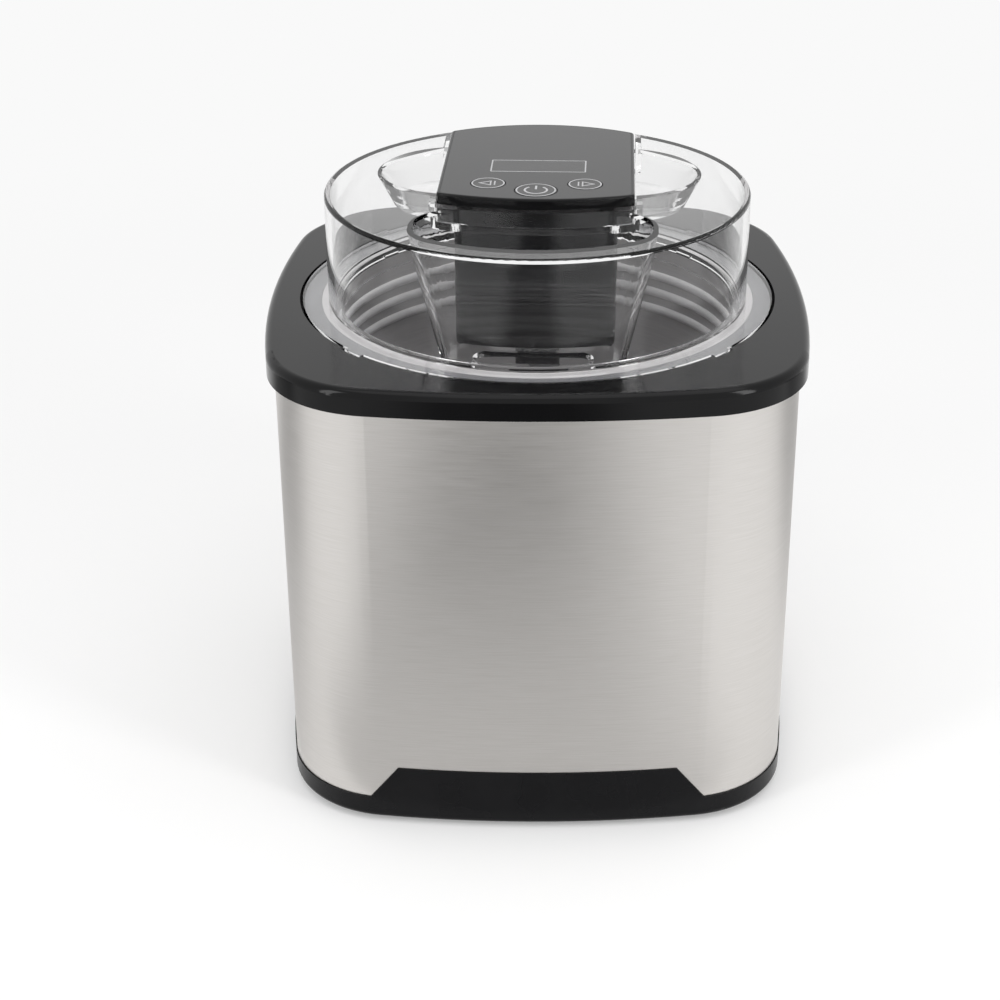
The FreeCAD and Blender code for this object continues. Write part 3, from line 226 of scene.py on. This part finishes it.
# Moulded polypropylene, charcoal: dull and even.
linerPlastic = mouldedPlastic({
    "name": "charcoalPolypropylene", "dark": "#2a2a2b", "light": "#333335", "ior": 1.49,
    "roughLow": 0.38, "roughHigh": 0.50, "cloud": 20.0, "grain": 0.8, "depth": 0.01})
# Moulded polypropylene, light grey: pale and waxy.
greyPlastic = mouldedPlastic({
    "name": "lightGreyPolypropylene", "dark": "#a9a9ab", "light": "#b6b6b8", "ior": 1.49,
    "roughLow": 0.34, "roughHigh": 0.44, "cloud": 22.0, "grain": 0.8, "depth": 0.008})
# Moulded polypropylene, middle grey: a plain ring between the black rim and the clear lid.
collarPlastic = mouldedPlastic({
    "name": "greyPolypropylene", "dark": "#77777a", "light": "#828285", "ior": 1.49,
    "roughLow": 0.34, "roughHigh": 0.44, "cloud": 22.0, "grain": 0.8, "depth": 0.008})
# Moulded polypropylene, charcoal: dull, with a waxy sheen on the blades.
paddlePlastic = mouldedPlastic({
    "name": "charcoalPaddlePolypropylene", "dark": "#2b2b2d", "light": "#363638", "ior": 1.49,
    "roughLow": 0.34, "roughHigh": 0.44, "cloud": 18.0, "grain": 0.8, "depth": 0.008})
# Moulded nylon without dye: warm off-white and waxy.
gearNylon = mouldedPlastic({
    "name": "naturalNylon", "dark": "#d6d1c2", "light": "#e2ddcf", "ior": 1.53,
    "roughLow": 0.36, "roughHigh": 0.46, "cloud": 6.0, "grain": 0.4, "depth": 0.006})
# Moulded black nylon: dull, as small switch housings are.
switchPlastic = mouldedPlastic({
    "name": "blackSwitchNylon", "dark": "#141414", "light": "#1c1c1c", "ior": 1.53,
    "roughLow": 0.40, "roughHigh": 0.50, "cloud": 3.0, "grain": 0.3, "depth": 0.005})
# Glass of an unlit display: dark and smooth, with a cold cast.
displayCell = mouldedPlastic({
    "name": "displayCellGlass", "dark": "#141617", "light": "#1a1d1e", "ior": 1.52,
    "roughLow": 0.10, "roughHigh": 0.16, "cloud": 8.0, "grain": 0.5, "depth": 0.001})
# Moulded rubber: dull black, with a grain that breaks up the light.
footRubber = mouldedPlastic({
    "name": "blackFootRubber", "dark": "#131313", "light": "#1b1b1b", "ior": 1.52,
    "roughLow": 0.62, "roughHigh": 0.78, "cloud": 4.0, "grain": 0.5, "depth": 0.03})
# Frozen gel: pale blue, uneven and icy.
coolantGel = mouldedPlastic({
    "name": "frozenCoolantGel", "dark": "#8fb4cf", "light": "#a9c8dd", "ior": 1.35,
    "roughLow": 0.20, "roughHigh": 0.36, "cloud": 12.0, "grain": 2.0, "depth": 0.05})
# Screen-printed ink: pale grey and flat.
lineInk = mouldedPlastic({
    "name": "paleScreenInk", "dark": "#b4b4b6", "light": "#c2c2c4", "ior": 1.5,
    "roughLow": 0.42, "roughHigh": 0.55, "cloud": 2.0, "grain": 0.3, "depth": 0.002})
wrapSteel = brushedStainless({
    "name": "brushedStainlessSheet", "dark": "#d2cfcb", "light": "#dad7d4",
    "metallic": 1.0, "anisotropy": 0.6,
    "scratch": (14.0, 14.0, 0.3),  # real scratches are finer and are drawn this coarse to show
    "cloud": 60.0, "roughLow": 0.30, "roughHigh": 0.35, "roughCloud": 0.02, "depth": 0.002})
# Anodised aluminium: pale and matt, with faint rings from spinning.
bowlAluminium = workedMetal({
    "name": "anodisedAluminium", "dark": "#c4c2c3", "light": "#cfcdce",
    "metallic": 0.15,  # the porous oxide scatters most of the light
    "mark": (18.0, 18.0, 0.8), "roughLow": 0.44, "roughHigh": 0.54, "depth": 0.004})
# Aluminium beads painted near white, whiter than the wall that they stand on: painted highlight arcs round
# the bowl.
paintedHighlightBead = workedMetal({
    "name": "paintedHighlightAluminium", "dark": "#f2f1f2", "light": "#fbfafb", "metallic": 0.10,
    "mark": (6.0, 6.0, 0.8), "roughLow": 0.30, "roughHigh": 0.40, "depth": 0.002})
# Zinc plate on steel: bright grey, with a fine uneven grain.
screwZinc = workedMetal({
    "name": "zincPlatedSteel", "dark": "#9a9a98", "light": "#b4b4b1", "metallic": 1.0,
    "mark": 1.2, "roughLow": 0.28, "roughHigh": 0.42, "depth": 0.01})
# Ground steel: bright, with fine rings round the axis.
shaftSteel = workedMetal({
    "name": "groundSteel", "dark": "#a3a3a4", "light": "#b9b9ba", "metallic": 1.0,
    "mark": (4.0, 4.0, 0.3), "roughLow": 0.16, "roughHigh": 0.28, "depth": 0.004})
# Turned brass: yellow, with fine rings from the tool.
bushBrass = workedMetal({
    "name": "turnedBrass", "dark": "#b08d48", "light": "#c7a560", "metallic": 1.0,
    "mark": (5.0, 5.0, 0.3), "roughLow": 0.20, "roughHigh": 0.32, "depth": 0.004})
# Stamped steel: grey, with the rolling lines of the sheet.
plateSteel = workedMetal({
    "name": "stampedSteelPlate", "dark": "#98999b", "light": "#aaabad", "metallic": 1.0,
    "mark": (8.0, 1.0, 1.0), "roughLow": 0.28, "roughHigh": 0.40, "depth": 0.006})
# Drawn steel: grey, with flat marks round the can.
motorSteel = workedMetal({
    "name": "drawnMotorCan", "dark": "#8e8f90", "light": "#a0a1a2", "metallic": 1.0,
    "mark": (6.0, 6.0, 0.7), "roughLow": 0.26, "roughHigh": 0.38, "depth": 0.006})
boardLacquer = lacqueredBoard({
    "name": "lacqueredCircuitBoard", "dark": "#0c3a22", "light": "#0f4529", "copper": "#2f7a4d",
    "ior": 1.5, "rough": 0.3, "spacing": 6.0, "trackShare": 0.03})
lidStyrene = clearPlastic({
    "name": "clearStyrene", "tint": "#fdfdfd", "ior": 1.32, "wave": 22.0,
    "roughLow": 0.0, "roughHigh": 0.01, "depth": 0.003})
# Smoked styrene: dark glass over the display.
windowStyrene = clearPlastic({
    "name": "smokedStyrene", "tint": "#3a3a3c", "ior": 1.5, "wave": 14.0,
    "roughLow": 0.02, "roughHigh": 0.05, "depth": 0.002})

nodeFinishes = {
    "base_tray": blackSatin, "base_feet": footRubber, "base_screws": screwZinc, "steel_shell": wrapSteel,
    "top_rim": blackGloss, "rim_screws": screwZinc, "inner_liner": linerPlastic,
    "canister_bowl": bowlAluminium, "canister_jacket": greyPlastic, "canister_coolant": coolantGel,
    "canister_collar": collarPlastic, "paddle": paddlePlastic, "lid_cover": lidStyrene,
    "head_cover": blackGloss, "control_panel": panelGloss, "display_window": windowStyrene,
    "control_board": boardLacquer, "display_module": displayCell, "tact_switches": switchPlastic,
    "board_screws": screwZinc, "head_pod": podPlastic, "head_screws": screwZinc, "cord_gland": footRubber,
    "output_gear": gearNylon, "idler_gear": gearNylon, "idler_pin": shaftSteel, "motor_pinion": bushBrass,
    "drive_shaft": shaftSteel, "lower_bush": bushBrass, "upper_bush": bushBrass, "gear_plate": plateSteel,
    "plate_screws": screwZinc, "motor_screws": screwZinc, "motor_can": motorSteel, "motor_shaft": shaftSteel,
}


def setFinish(piece, material):
    piece.data.materials.clear()
    piece.data.materials.append(material)


for nodeName, nodeFinish in nodeFinishes.items():
    setFinish(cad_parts[nodeName], nodeFinish)
# Light falls through the clear lid into the bowl.
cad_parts["lid_cover"].visible_shadow = False
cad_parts["lid_cover"].visible_diffuse = False
print("finishes put on", len(nodeFinishes), "nodes")

# Surfaces worked out as whole arrays


def meshPiece(name, points, faces, material, body, smooth=True):
    mesh = bpy.data.meshes.new(name)
    mesh.from_pydata(points.tolist(), [], faces)
    mesh.polygons.foreach_set("use_smooth", np.full(len(mesh.polygons), smooth))
    mesh.validate()
    mesh.update()
    piece = bpy.data.objects.new(name, mesh)
    bpy.context.scene.collection.objects.link(piece)
    setFinish(piece, material)
    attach(piece, body)
    return piece


def turnedPoints(points):
    # rotation of the lid frame about the upright axis
    x, y, z = points.T
    return np.column_stack((x * lidCos - y * lidSin, x * lidSin + y * lidCos, z))


def gridFaces(rows, columns, closeRows, closeColumns):
    # quads between neighbours of a rows x columns grid, wrapped round where asked
    r = np.arange(rows if closeRows else rows - 1)[:, None]
    c = np.arange(columns if closeColumns else columns - 1)[None, :]
    nextR = (r + 1) % rows
    nextC = (c + 1) % columns
    corners = (r * columns + c, nextR * columns + c, nextR * columns + nextC, r * columns + nextC)
    return np.stack([np.broadcast_to(k, (r.size, c.size)) for k in corners], -1).reshape(-1, 4)


def revolvedGrid(radii, heights, center, segments):
    # rows of points (cx + r cos t, cy + r sin t, z), one row for each r and z
    t = np.linspace(0.0, 2 * np.pi, segments, endpoint=False)
    x = center[0] + radii[:, None] * np.cos(t)[None, :]
    y = center[1] + radii[:, None] * np.sin(t)[None, :]
    z = np.broadcast_to(heights[:, None], x.shape)
    return np.stack((x, y, z), -1).reshape(-1, 3)


def arcPath(center, radius, start, end, count):
    # points (cx + r cos t, cy + r sin t) for t from start to end, in degrees
    t = np.radians(np.linspace(start, end, count))
    return np.column_stack((center[0] + radius * np.cos(t), center[1] + radius * np.sin(t)))


leastLength = 1e-9  # guards the division at the ends of an open line
leastCosine = 0.35  # holds back the outer point of a sharp corner


def unitRows(rows):
    return rows / np.maximum(np.linalg.norm(rows, axis=1, keepdims=True), leastLength)


def strokeGrid(path, width, low, high, closed):
    # a flat line: each path point p carries p +- n width / 2 at both heights, n square to the path
    following = np.roll(path, -1, 0)
    leading = np.roll(path, 1, 0)
    if not closed:
        following[-1] = path[-1]
        leading[0] = path[0]
    inward = unitRows(path - leading)
    outward = unitRows(following - path)
    if not closed:
        inward[0] = outward[0]
        outward[-1] = inward[-1]
    along = unitRows(inward + outward)
    normal = np.column_stack((-along[:, 1], along[:, 0]))
    # a corner's half width grows by 1 / cos of half its turn
    grow = 1.0 / np.maximum(np.sum(along * outward, axis=1, keepdims=True), leastCosine)
    reach = normal * grow * width / 2
    rings = [np.column_stack((path + reach * side, np.full(len(path), height)))
             for side, height in ((1, low), (-1, low), (-1, high), (1, high))]
    points = np.stack(rings, 1).reshape(-1, 3)
    faces = gridFaces(len(path), len(rings), closed, True)
    if not closed:
        last = len(points) - len(rings)
        ends = np.array([[3, 2, 1, 0], [last, last + 1, last + 2, last + 3]])
        faces = np.vstack((faces, ends))
    return points, faces


def strokePiece(name, strokes, low, high, material, body):
    points, faces, start = [], [], 0
    for path, width, closed in strokes:
        linePoints, lineFaces = strokeGrid(np.asarray(path, float), width, low, high, closed)
        points.append(linePoints)
        faces.append(lineFaces + start)
        start += len(linePoints)
    allPoints = turnedPoints(np.vstack(points)) * mm
    meshPiece(name, allPoints, np.vstack(faces).tolist(), material, body, smooth=False)


def turnedProfile(profile, center, segments):
    # profile (r, z) carried round an upright axis at center; the first and last points lie on the axis
    rows = profile[1:-1]
    ring = revolvedGrid(rows[:, 0], rows[:, 1], center, segments)
    poles = np.array([[*center, profile[0][1]], [*center, profile[-1][1]]])
    sides = gridFaces(len(rows), segments, False, True)[:, ::-1]
    k = np.arange(segments)
    first, last = len(ring), len(ring) + 1
    base = (len(rows) - 1) * segments
    under = np.column_stack((np.full(segments, first), (k + 1) % segments, k))
    over = np.column_stack((np.full(segments, last), base + k, base + (k + 1) % segments))
    return np.vstack((ring, poles)), sides.tolist() + under.tolist() + over.tolist()


# Beads round the bowl, painted near white as highlight arcs, in millimetres

bowlBeads = {
    "levels": (157.0, 164.5, 172.0),
    "lip": 5.0, "taper": 5.0, "depth": 144.0,  # the bowl narrows by its taper over its depth
    "proud": 1.3, "halfHigh": 2.0, "sunk": 0.3,
    "segments": 160, "steps": 9,
}


def makeBead(number, level):
    # a half oval carried round the bowl's wall: r = R(z) + sunk - (proud + sunk) sin t, z = level + h cos t
    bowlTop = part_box("canister_bowl")[1]
    t = np.linspace(0.0, np.pi, bowlBeads["steps"])
    z = level + bowlBeads["halfHigh"] * np.cos(t)
    narrowed = bowlBeads["taper"] * (bowlTop.z / mm - z) / bowlBeads["depth"]
    wall = bowlTop.x / mm - bowlBeads["lip"] - narrowed
    r = wall + bowlBeads["sunk"] - (bowlBeads["proud"] + bowlBeads["sunk"]) * np.sin(t)
    points = revolvedGrid(r, z, (0.0, 0.0), bowlBeads["segments"]) * mm
    faces = gridFaces(len(t), bowlBeads["segments"], True, True)[:, ::-1]
    # each bead takes the near-white painted highlight finish
    meshPiece(f"bowl_bead_{number}", points, faces.tolist(), paintedHighlightBead, "canister")


for beadNumber, beadLevel in enumerate(bowlBeads["levels"], 1):
    makeBead(beadNumber, beadLevel)
print("bowl beads made")

# Buttons and printed lines on the motor unit, in millimetres

capShape = {
    "skirt": 0.8, "flange": 0.9, "edge": 0.35, "dish": 0.06, "below": 0.04,
    "segments": 96, "edgeSteps": 6,
    "dishOuter": 0.85, "dishInner": 0.1, "dishSteps": 6,  # rings of the dished top, as shares of its radius
    "sharpAngle": 35.0,  # degrees, past which an edge is drawn sharp
}
iconLine = {"wide": 0.58, "sunk": 0.05, "proud": 0.03}
iconRings = {"button_power": 7.5, "button_left": 6.2, "button_right": 6.2}  # radius of each printed ring
ringSteps = 90
stepShape = {"tip": 3.4, "back": -1.0, "bar": -2.6, "half": 2.5}
powerShape = {
    "radius": 4.3, "start": 128.0, "end": 412.0, "steps": 48,  # the open ring, in degrees
    "barLow": 0.9, "barHigh": 5.2, "bolder": 1.4,
}


def lidPlace(name):
    # middle of a node on the lid, turned back into the lid's own directions
    low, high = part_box(name)
    x, y = (low.x + high.x) / 2 / mm, (low.y + high.y) / 2 / mm
    return (x * lidCos + y * lidSin, y * lidCos - x * lidSin)


def makeCap(name, center):
    # a lathe: flange, straight skirt, quarter-round edge and a top dished by dish * (1 - (r / R)^2)
    low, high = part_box(name)
    bottom = low.z / mm
    top = high.z / mm - capShape["below"] - iconLine["proud"]
    radius, edge = (high.x - low.x) / 2 / mm - capShape["skirt"], capShape["edge"]
    reach = radius + capShape["skirt"]
    ledge = bottom + capShape["flange"]
    bend = np.radians(np.linspace(0, 90, capShape["edgeSteps"]))
    corner = np.column_stack((radius - edge + edge * np.cos(bend), top - edge + edge * np.sin(bend)))
    shares = np.linspace(capShape["dishOuter"], capShape["dishInner"], capShape["dishSteps"])
    dish = np.column_stack((shares * (radius - edge), top - capShape["dish"] * (1 - shares ** 2)))
    foot = [[0, bottom], [reach, bottom], [reach, ledge], [radius, ledge]]
    profile = np.vstack((foot, corner, dish, [[0, top - capShape["dish"]]]))
    points, faces = turnedProfile(profile, center, capShape["segments"])
    piece = meshPiece(name + "_cap", turnedPoints(points) * mm, faces, buttonGloss, name)
    piece.data.set_sharp_from_angle(angle=math.radians(capShape["sharpAngle"]))
    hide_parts(name)
    return top


def stepArrow(center, pointing):
    # an outlined triangle and a bar behind it, inside the ring
    x, y = center
    tip, back, behind = (x + pointing * stepShape[key] for key in ("tip", "back", "bar"))
    low, high = y - stepShape["half"], y + stepShape["half"]
    triangle = [(tip, y), (back, high), (back, low)]
    bar = [(behind, low), (behind, high)]
    return [(triangle, iconLine["wide"], True), (bar, iconLine["wide"], False)]


def powerSign(center):
    # an open ring with an upright bar in its gap, the gap towards the display
    x, y = center
    wide = iconLine["wide"] * powerShape["bolder"]
    arc = arcPath(center, powerShape["radius"], powerShape["start"], powerShape["end"], powerShape["steps"])
    bar = [(x, y + powerShape["barLow"]), (x, y + powerShape["barHigh"])]
    return [(arc, wide, False), (bar, wide, False)]


for capName, ringRadius in iconRings.items():
    capCenter = lidPlace(capName)
    capTop = makeCap(capName, capCenter)
    ringPath = arcPath(capCenter, ringRadius, 0, 360 - 360 / ringSteps, ringSteps)
    if capName == "button_power":
        signs = powerSign(capCenter)
    else:
        signs = stepArrow(capCenter, -1 if capName == "button_left" else 1)
    strokePiece(capName + "_icon", [(ringPath, iconLine["wide"], True), *signs],
                capTop - capShape["dish"] - iconLine["sunk"], capTop + iconLine["proud"],
                lineInk, capName)
print("buttons and icons made")

displayLine = {"length": 37.4, "width": 14.7, "wide": 0.55, "corner": 0.3, "cornerSteps": 8}


def makeDisplayLine(line):
    # a rectangle with barely rounded corners round the display window
    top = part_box("display_window")[1].z / mm
    x, y = lidPlace("display_window")
    bend = line["corner"]
    insetX, insetY = line["length"] / 2 - bend, line["width"] / 2 - bend
    quarters = [((1, -1), -90), ((1, 1), 0), ((-1, 1), 90), ((-1, -1), 180)]
    corners = [arcPath((x + sx * insetX, y + sy * insetY), bend, start, start + 90, line["cornerSteps"])
               for (sx, sy), start in quarters]
    strokePiece("display_line", [(np.vstack(corners), line["wide"], True)], top - iconLine["sunk"],
                top + iconLine["proud"], lineInk, "motor_unit")


makeDisplayLine(displayLine)
print("display line made")

# Floor, cards, world and lamps, in metres

studio = {
    "floorHalf": 6.0,
    "floorColour": "#f9f9f9",
    "worldColour": "#f9f9f9",
    "ambient": 0.84,  # light that the surroundings put on the object
    "floorGlow": 0.26,  # share of plain colour in the floor near the body, the rest keeps the shadow
    "glowNear": 0.25, "glowFar": 0.85,  # the share grows to the whole between these reaches
}
flagShape = {
    # black cards that lie on the floor at the body's four sides, seen in gloss alone: painted dark
    # reflections in the glossy parts
    "halfWide": 0.19, "near": -0.112, "far": -1.10,
    # dark is the colour of the painted dark reflection
    "fadeWide": 0.125, "fadeNear": 0.36, "nearShare": 0.42, "dark": "#0c0c0d",
}
flags = {
    # turn about the upright axis from the front, in degrees, and shift along the card's width
    "frontFlag": {"turn": 0.0, "middle": -0.036, "height": 0.0020, "strength": 0.80},
    "backFlag": {"turn": 180.0, "middle": -0.036, "height": 0.0024, "strength": 0.76},
    "leftFlag": {"turn": -90.0, "middle": -0.08, "height": 0.0028, "strength": 0.60},
    "rightFlag": {"turn": 90.0, "middle": 0.16, "height": 0.0032, "strength": 0.55},
}


def seenDirectly(tree):
    # 1 for camera, gloss and see-through rays, 0 for the rest
    path = addNode(tree, "ShaderNodeLightPath")
    pair = addNode(tree, "ShaderNodeMath", {"operation": "MAXIMUM"}, {
        0: path.outputs["Is Camera Ray"], 1: path.outputs["Is Glossy Ray"]})
    seen = addNode(tree, "ShaderNodeMath", {"operation": "MAXIMUM"}, {
        0: pair.outputs["Value"], 1: path.outputs["Is Transmission Ray"]})
    return seen.outputs["Value"]


def flatSheet(name, points, material):
    mesh = bpy.data.meshes.new(name)
    mesh.from_pydata(points.tolist(), [], [[0, 1, 2, 3]])
    sheet = bpy.data.objects.new(name, mesh)
    bpy.context.scene.collection.objects.link(sheet)
    setFinish(sheet, material)
    return sheet


def makeFloor():
    # pale floor that shows its plain colour far out and keeps the shadow near the body
    half = studio["floorHalf"]
    material, tree = emptyMaterial("paleStudioFloor")
    colour = hexLinear(studio["floorColour"])
    paint = addNode(tree, "ShaderNodeBsdfDiffuse", inputs={"Color": colour})
    glow = addNode(tree, "ShaderNodeEmission", inputs={"Color": colour, "Strength": 1.0})
    reach = addNode(tree, "ShaderNodeVectorMath", {"operation": "LENGTH"}, {
        0: addNode(tree, "ShaderNodeTexCoord").outputs["Object"]})
    grown = addNode(tree, "ShaderNodeMapRange", {"interpolation_type": "SMOOTHSTEP"}, {
        "Value": reach.outputs["Value"], "From Min": studio["glowNear"], "From Max": studio["glowFar"],
        "To Min": studio["floorGlow"], "To Max": 1.0})
    share = addNode(tree, "ShaderNodeMath", {"operation": "MULTIPLY"}, {
        0: seenDirectly(tree), 1: grown.outputs["Result"]})
    mixed = addNode(tree, "ShaderNodeMixShader", inputs={
        0: share.outputs["Value"], 1: paint.outputs["BSDF"], 2: glow.outputs["Emission"]})
    addNode(tree, "ShaderNodeOutputMaterial", inputs={"Surface": mixed.outputs["Shader"]})
    corners = np.array([[-half, -half, 0], [half, -half, 0], [half, half, 0], [-half, half, 0]])
    floor = flatSheet("studioFloor", corners, material)


def makeFlag(name, flag):
    # a flat card, turned about the upright axis, that paints a dark reflection into the glossy parts; the
    # painted dark thins out towards its sides and the body
    half, near, far = flagShape["halfWide"], flagShape["near"], flagShape["far"]
    turn = math.radians(flag["turn"])
    material, tree = emptyMaterial(name + "PaintedDarkReflection")
    turnedBack = addNode(tree, "ShaderNodeMapping", inputs={
        "Vector": addNode(tree, "ShaderNodeTexCoord").outputs["Object"], "Rotation": (0.0, 0.0, -turn)})
    place = addNode(tree, "ShaderNodeSeparateXYZ", inputs={"Vector": turnedBack.outputs["Vector"]})
    away = addNode(tree, "ShaderNodeMath", {"operation": "SUBTRACT"}, {
        0: place.outputs["X"], 1: flag["middle"]})
    side = addNode(tree, "ShaderNodeMath", {"operation": "ABSOLUTE"}, {0: away.outputs["Value"]})
    across = addNode(tree, "ShaderNodeMapRange", {"interpolation_type": "SMOOTHSTEP"}, {
        "Value": side.outputs["Value"], "From Min": half - flagShape["fadeWide"], "From Max": half,
        "To Min": flag["strength"], "To Max": 0.0})
    along = addNode(tree, "ShaderNodeMapRange", {"interpolation_type": "SMOOTHSTEP"}, {
        "Value": place.outputs["Y"], "From Min": near - flagShape["fadeNear"], "From Max": near,
        "To Min": 1.0, "To Max": flagShape["nearShare"]})
    # share of the painted dark reflection, across the card and along it
    film = addNode(tree, "ShaderNodeMath", {"operation": "MULTIPLY"}, {
        0: across.outputs["Result"], 1: along.outputs["Result"]})
    # only light that a gloss throws back meets the card, so the clear lid doesn't show it
    thrown = addNode(tree, "ShaderNodeMath", {"operation": "MINIMUM"}, {
        0: addNode(tree, "ShaderNodeLightPath").outputs["Glossy Depth"], 1: 1.0})
    shown = addNode(tree, "ShaderNodeMath", {"operation": "MULTIPLY"}, {
        0: film.outputs["Value"], 1: thrown.outputs["Value"]})
    # painted dark reflection: the card's near-black colour, seen only in gloss
    darkReflectionPaint = addNode(tree, "ShaderNodeBsdfDiffuse", inputs={"Color": hexLinear(flagShape["dark"])})
    clear = addNode(tree, "ShaderNodeBsdfTransparent")
    mixed = addNode(tree, "ShaderNodeMixShader", inputs={
        0: shown.outputs["Value"], 1: clear.outputs["BSDF"], 2: darkReflectionPaint.outputs["BSDF"]})
    addNode(tree, "ShaderNodeOutputMaterial", inputs={"Surface": mixed.outputs["Shader"]})
    x = np.array([-half, half, half, -half]) + flag["middle"]
    y = np.array([far, far, near, near])
    turnedX = x * math.cos(turn) - y * math.sin(turn)
    turnedY = x * math.sin(turn) + y * math.cos(turn)
    card = flatSheet(name, np.column_stack((turnedX, turnedY, np.full(len(x), flag["height"]))), material)
    card.visible_camera = False
    card.visible_diffuse = False
    card.visible_shadow = False


def makeWorld():
    world = bpy.data.worlds.new("paleStudio")
    world.use_nodes = True
    bpy.context.scene.world = world
    tree = world.node_tree
    tree.nodes.clear()
    strength = addNode(tree, "ShaderNodeMapRange", inputs={
        "Value": seenDirectly(tree), "To Min": studio["ambient"], "To Max": 1.0})
    sky = addNode(tree, "ShaderNodeBackground", inputs={
        "Color": hexLinear(studio["worldColour"]), "Strength": strength.outputs["Result"]})
    addNode(tree, "ShaderNodeOutputWorld", inputs={"Surface": sky.outputs["Background"]})


lamps = {
    "topSoftbox": {"place": (0.1, -0.2, 1.3), "aim": (0, 0, 0.15), "size": (1.2, 1.0), "power": 3.0},
    "leftStrip": {"place": (-0.95, -0.75, 0.55), "aim": (0, 0, 0.1), "size": (0.25, 1.1), "power": 4.0},
    "rightStrip": {"place": (0.95, -0.75, 0.55), "aim": (0, 0, 0.1), "size": (0.25, 1.1), "power": 5.0},
}


def makeLamp(name, lamp):
    data = bpy.data.lights.new(name, "AREA")
    data.shape = "RECTANGLE"
    data.size, data.size_y = lamp["size"]
    data.energy = lamp["power"]
    item = bpy.data.objects.new(name, data)
    item.location = lamp["place"]
    way = np.array(lamp["aim"]) - np.array(lamp["place"])
    flat = math.hypot(way[0], way[1])
    item.rotation_euler = (math.atan2(flat, -way[2]), 0.0, math.atan2(way[1], way[0]) - math.pi / 2)
    bpy.context.scene.collection.objects.link(item)


makeFloor()
for flagName, flagPlace in flags.items():
    makeFlag(flagName, flagPlace)
makeWorld()
for lampName, lampPlace in lamps.items():
    makeLamp(lampName, lampPlace)
print("studio made")
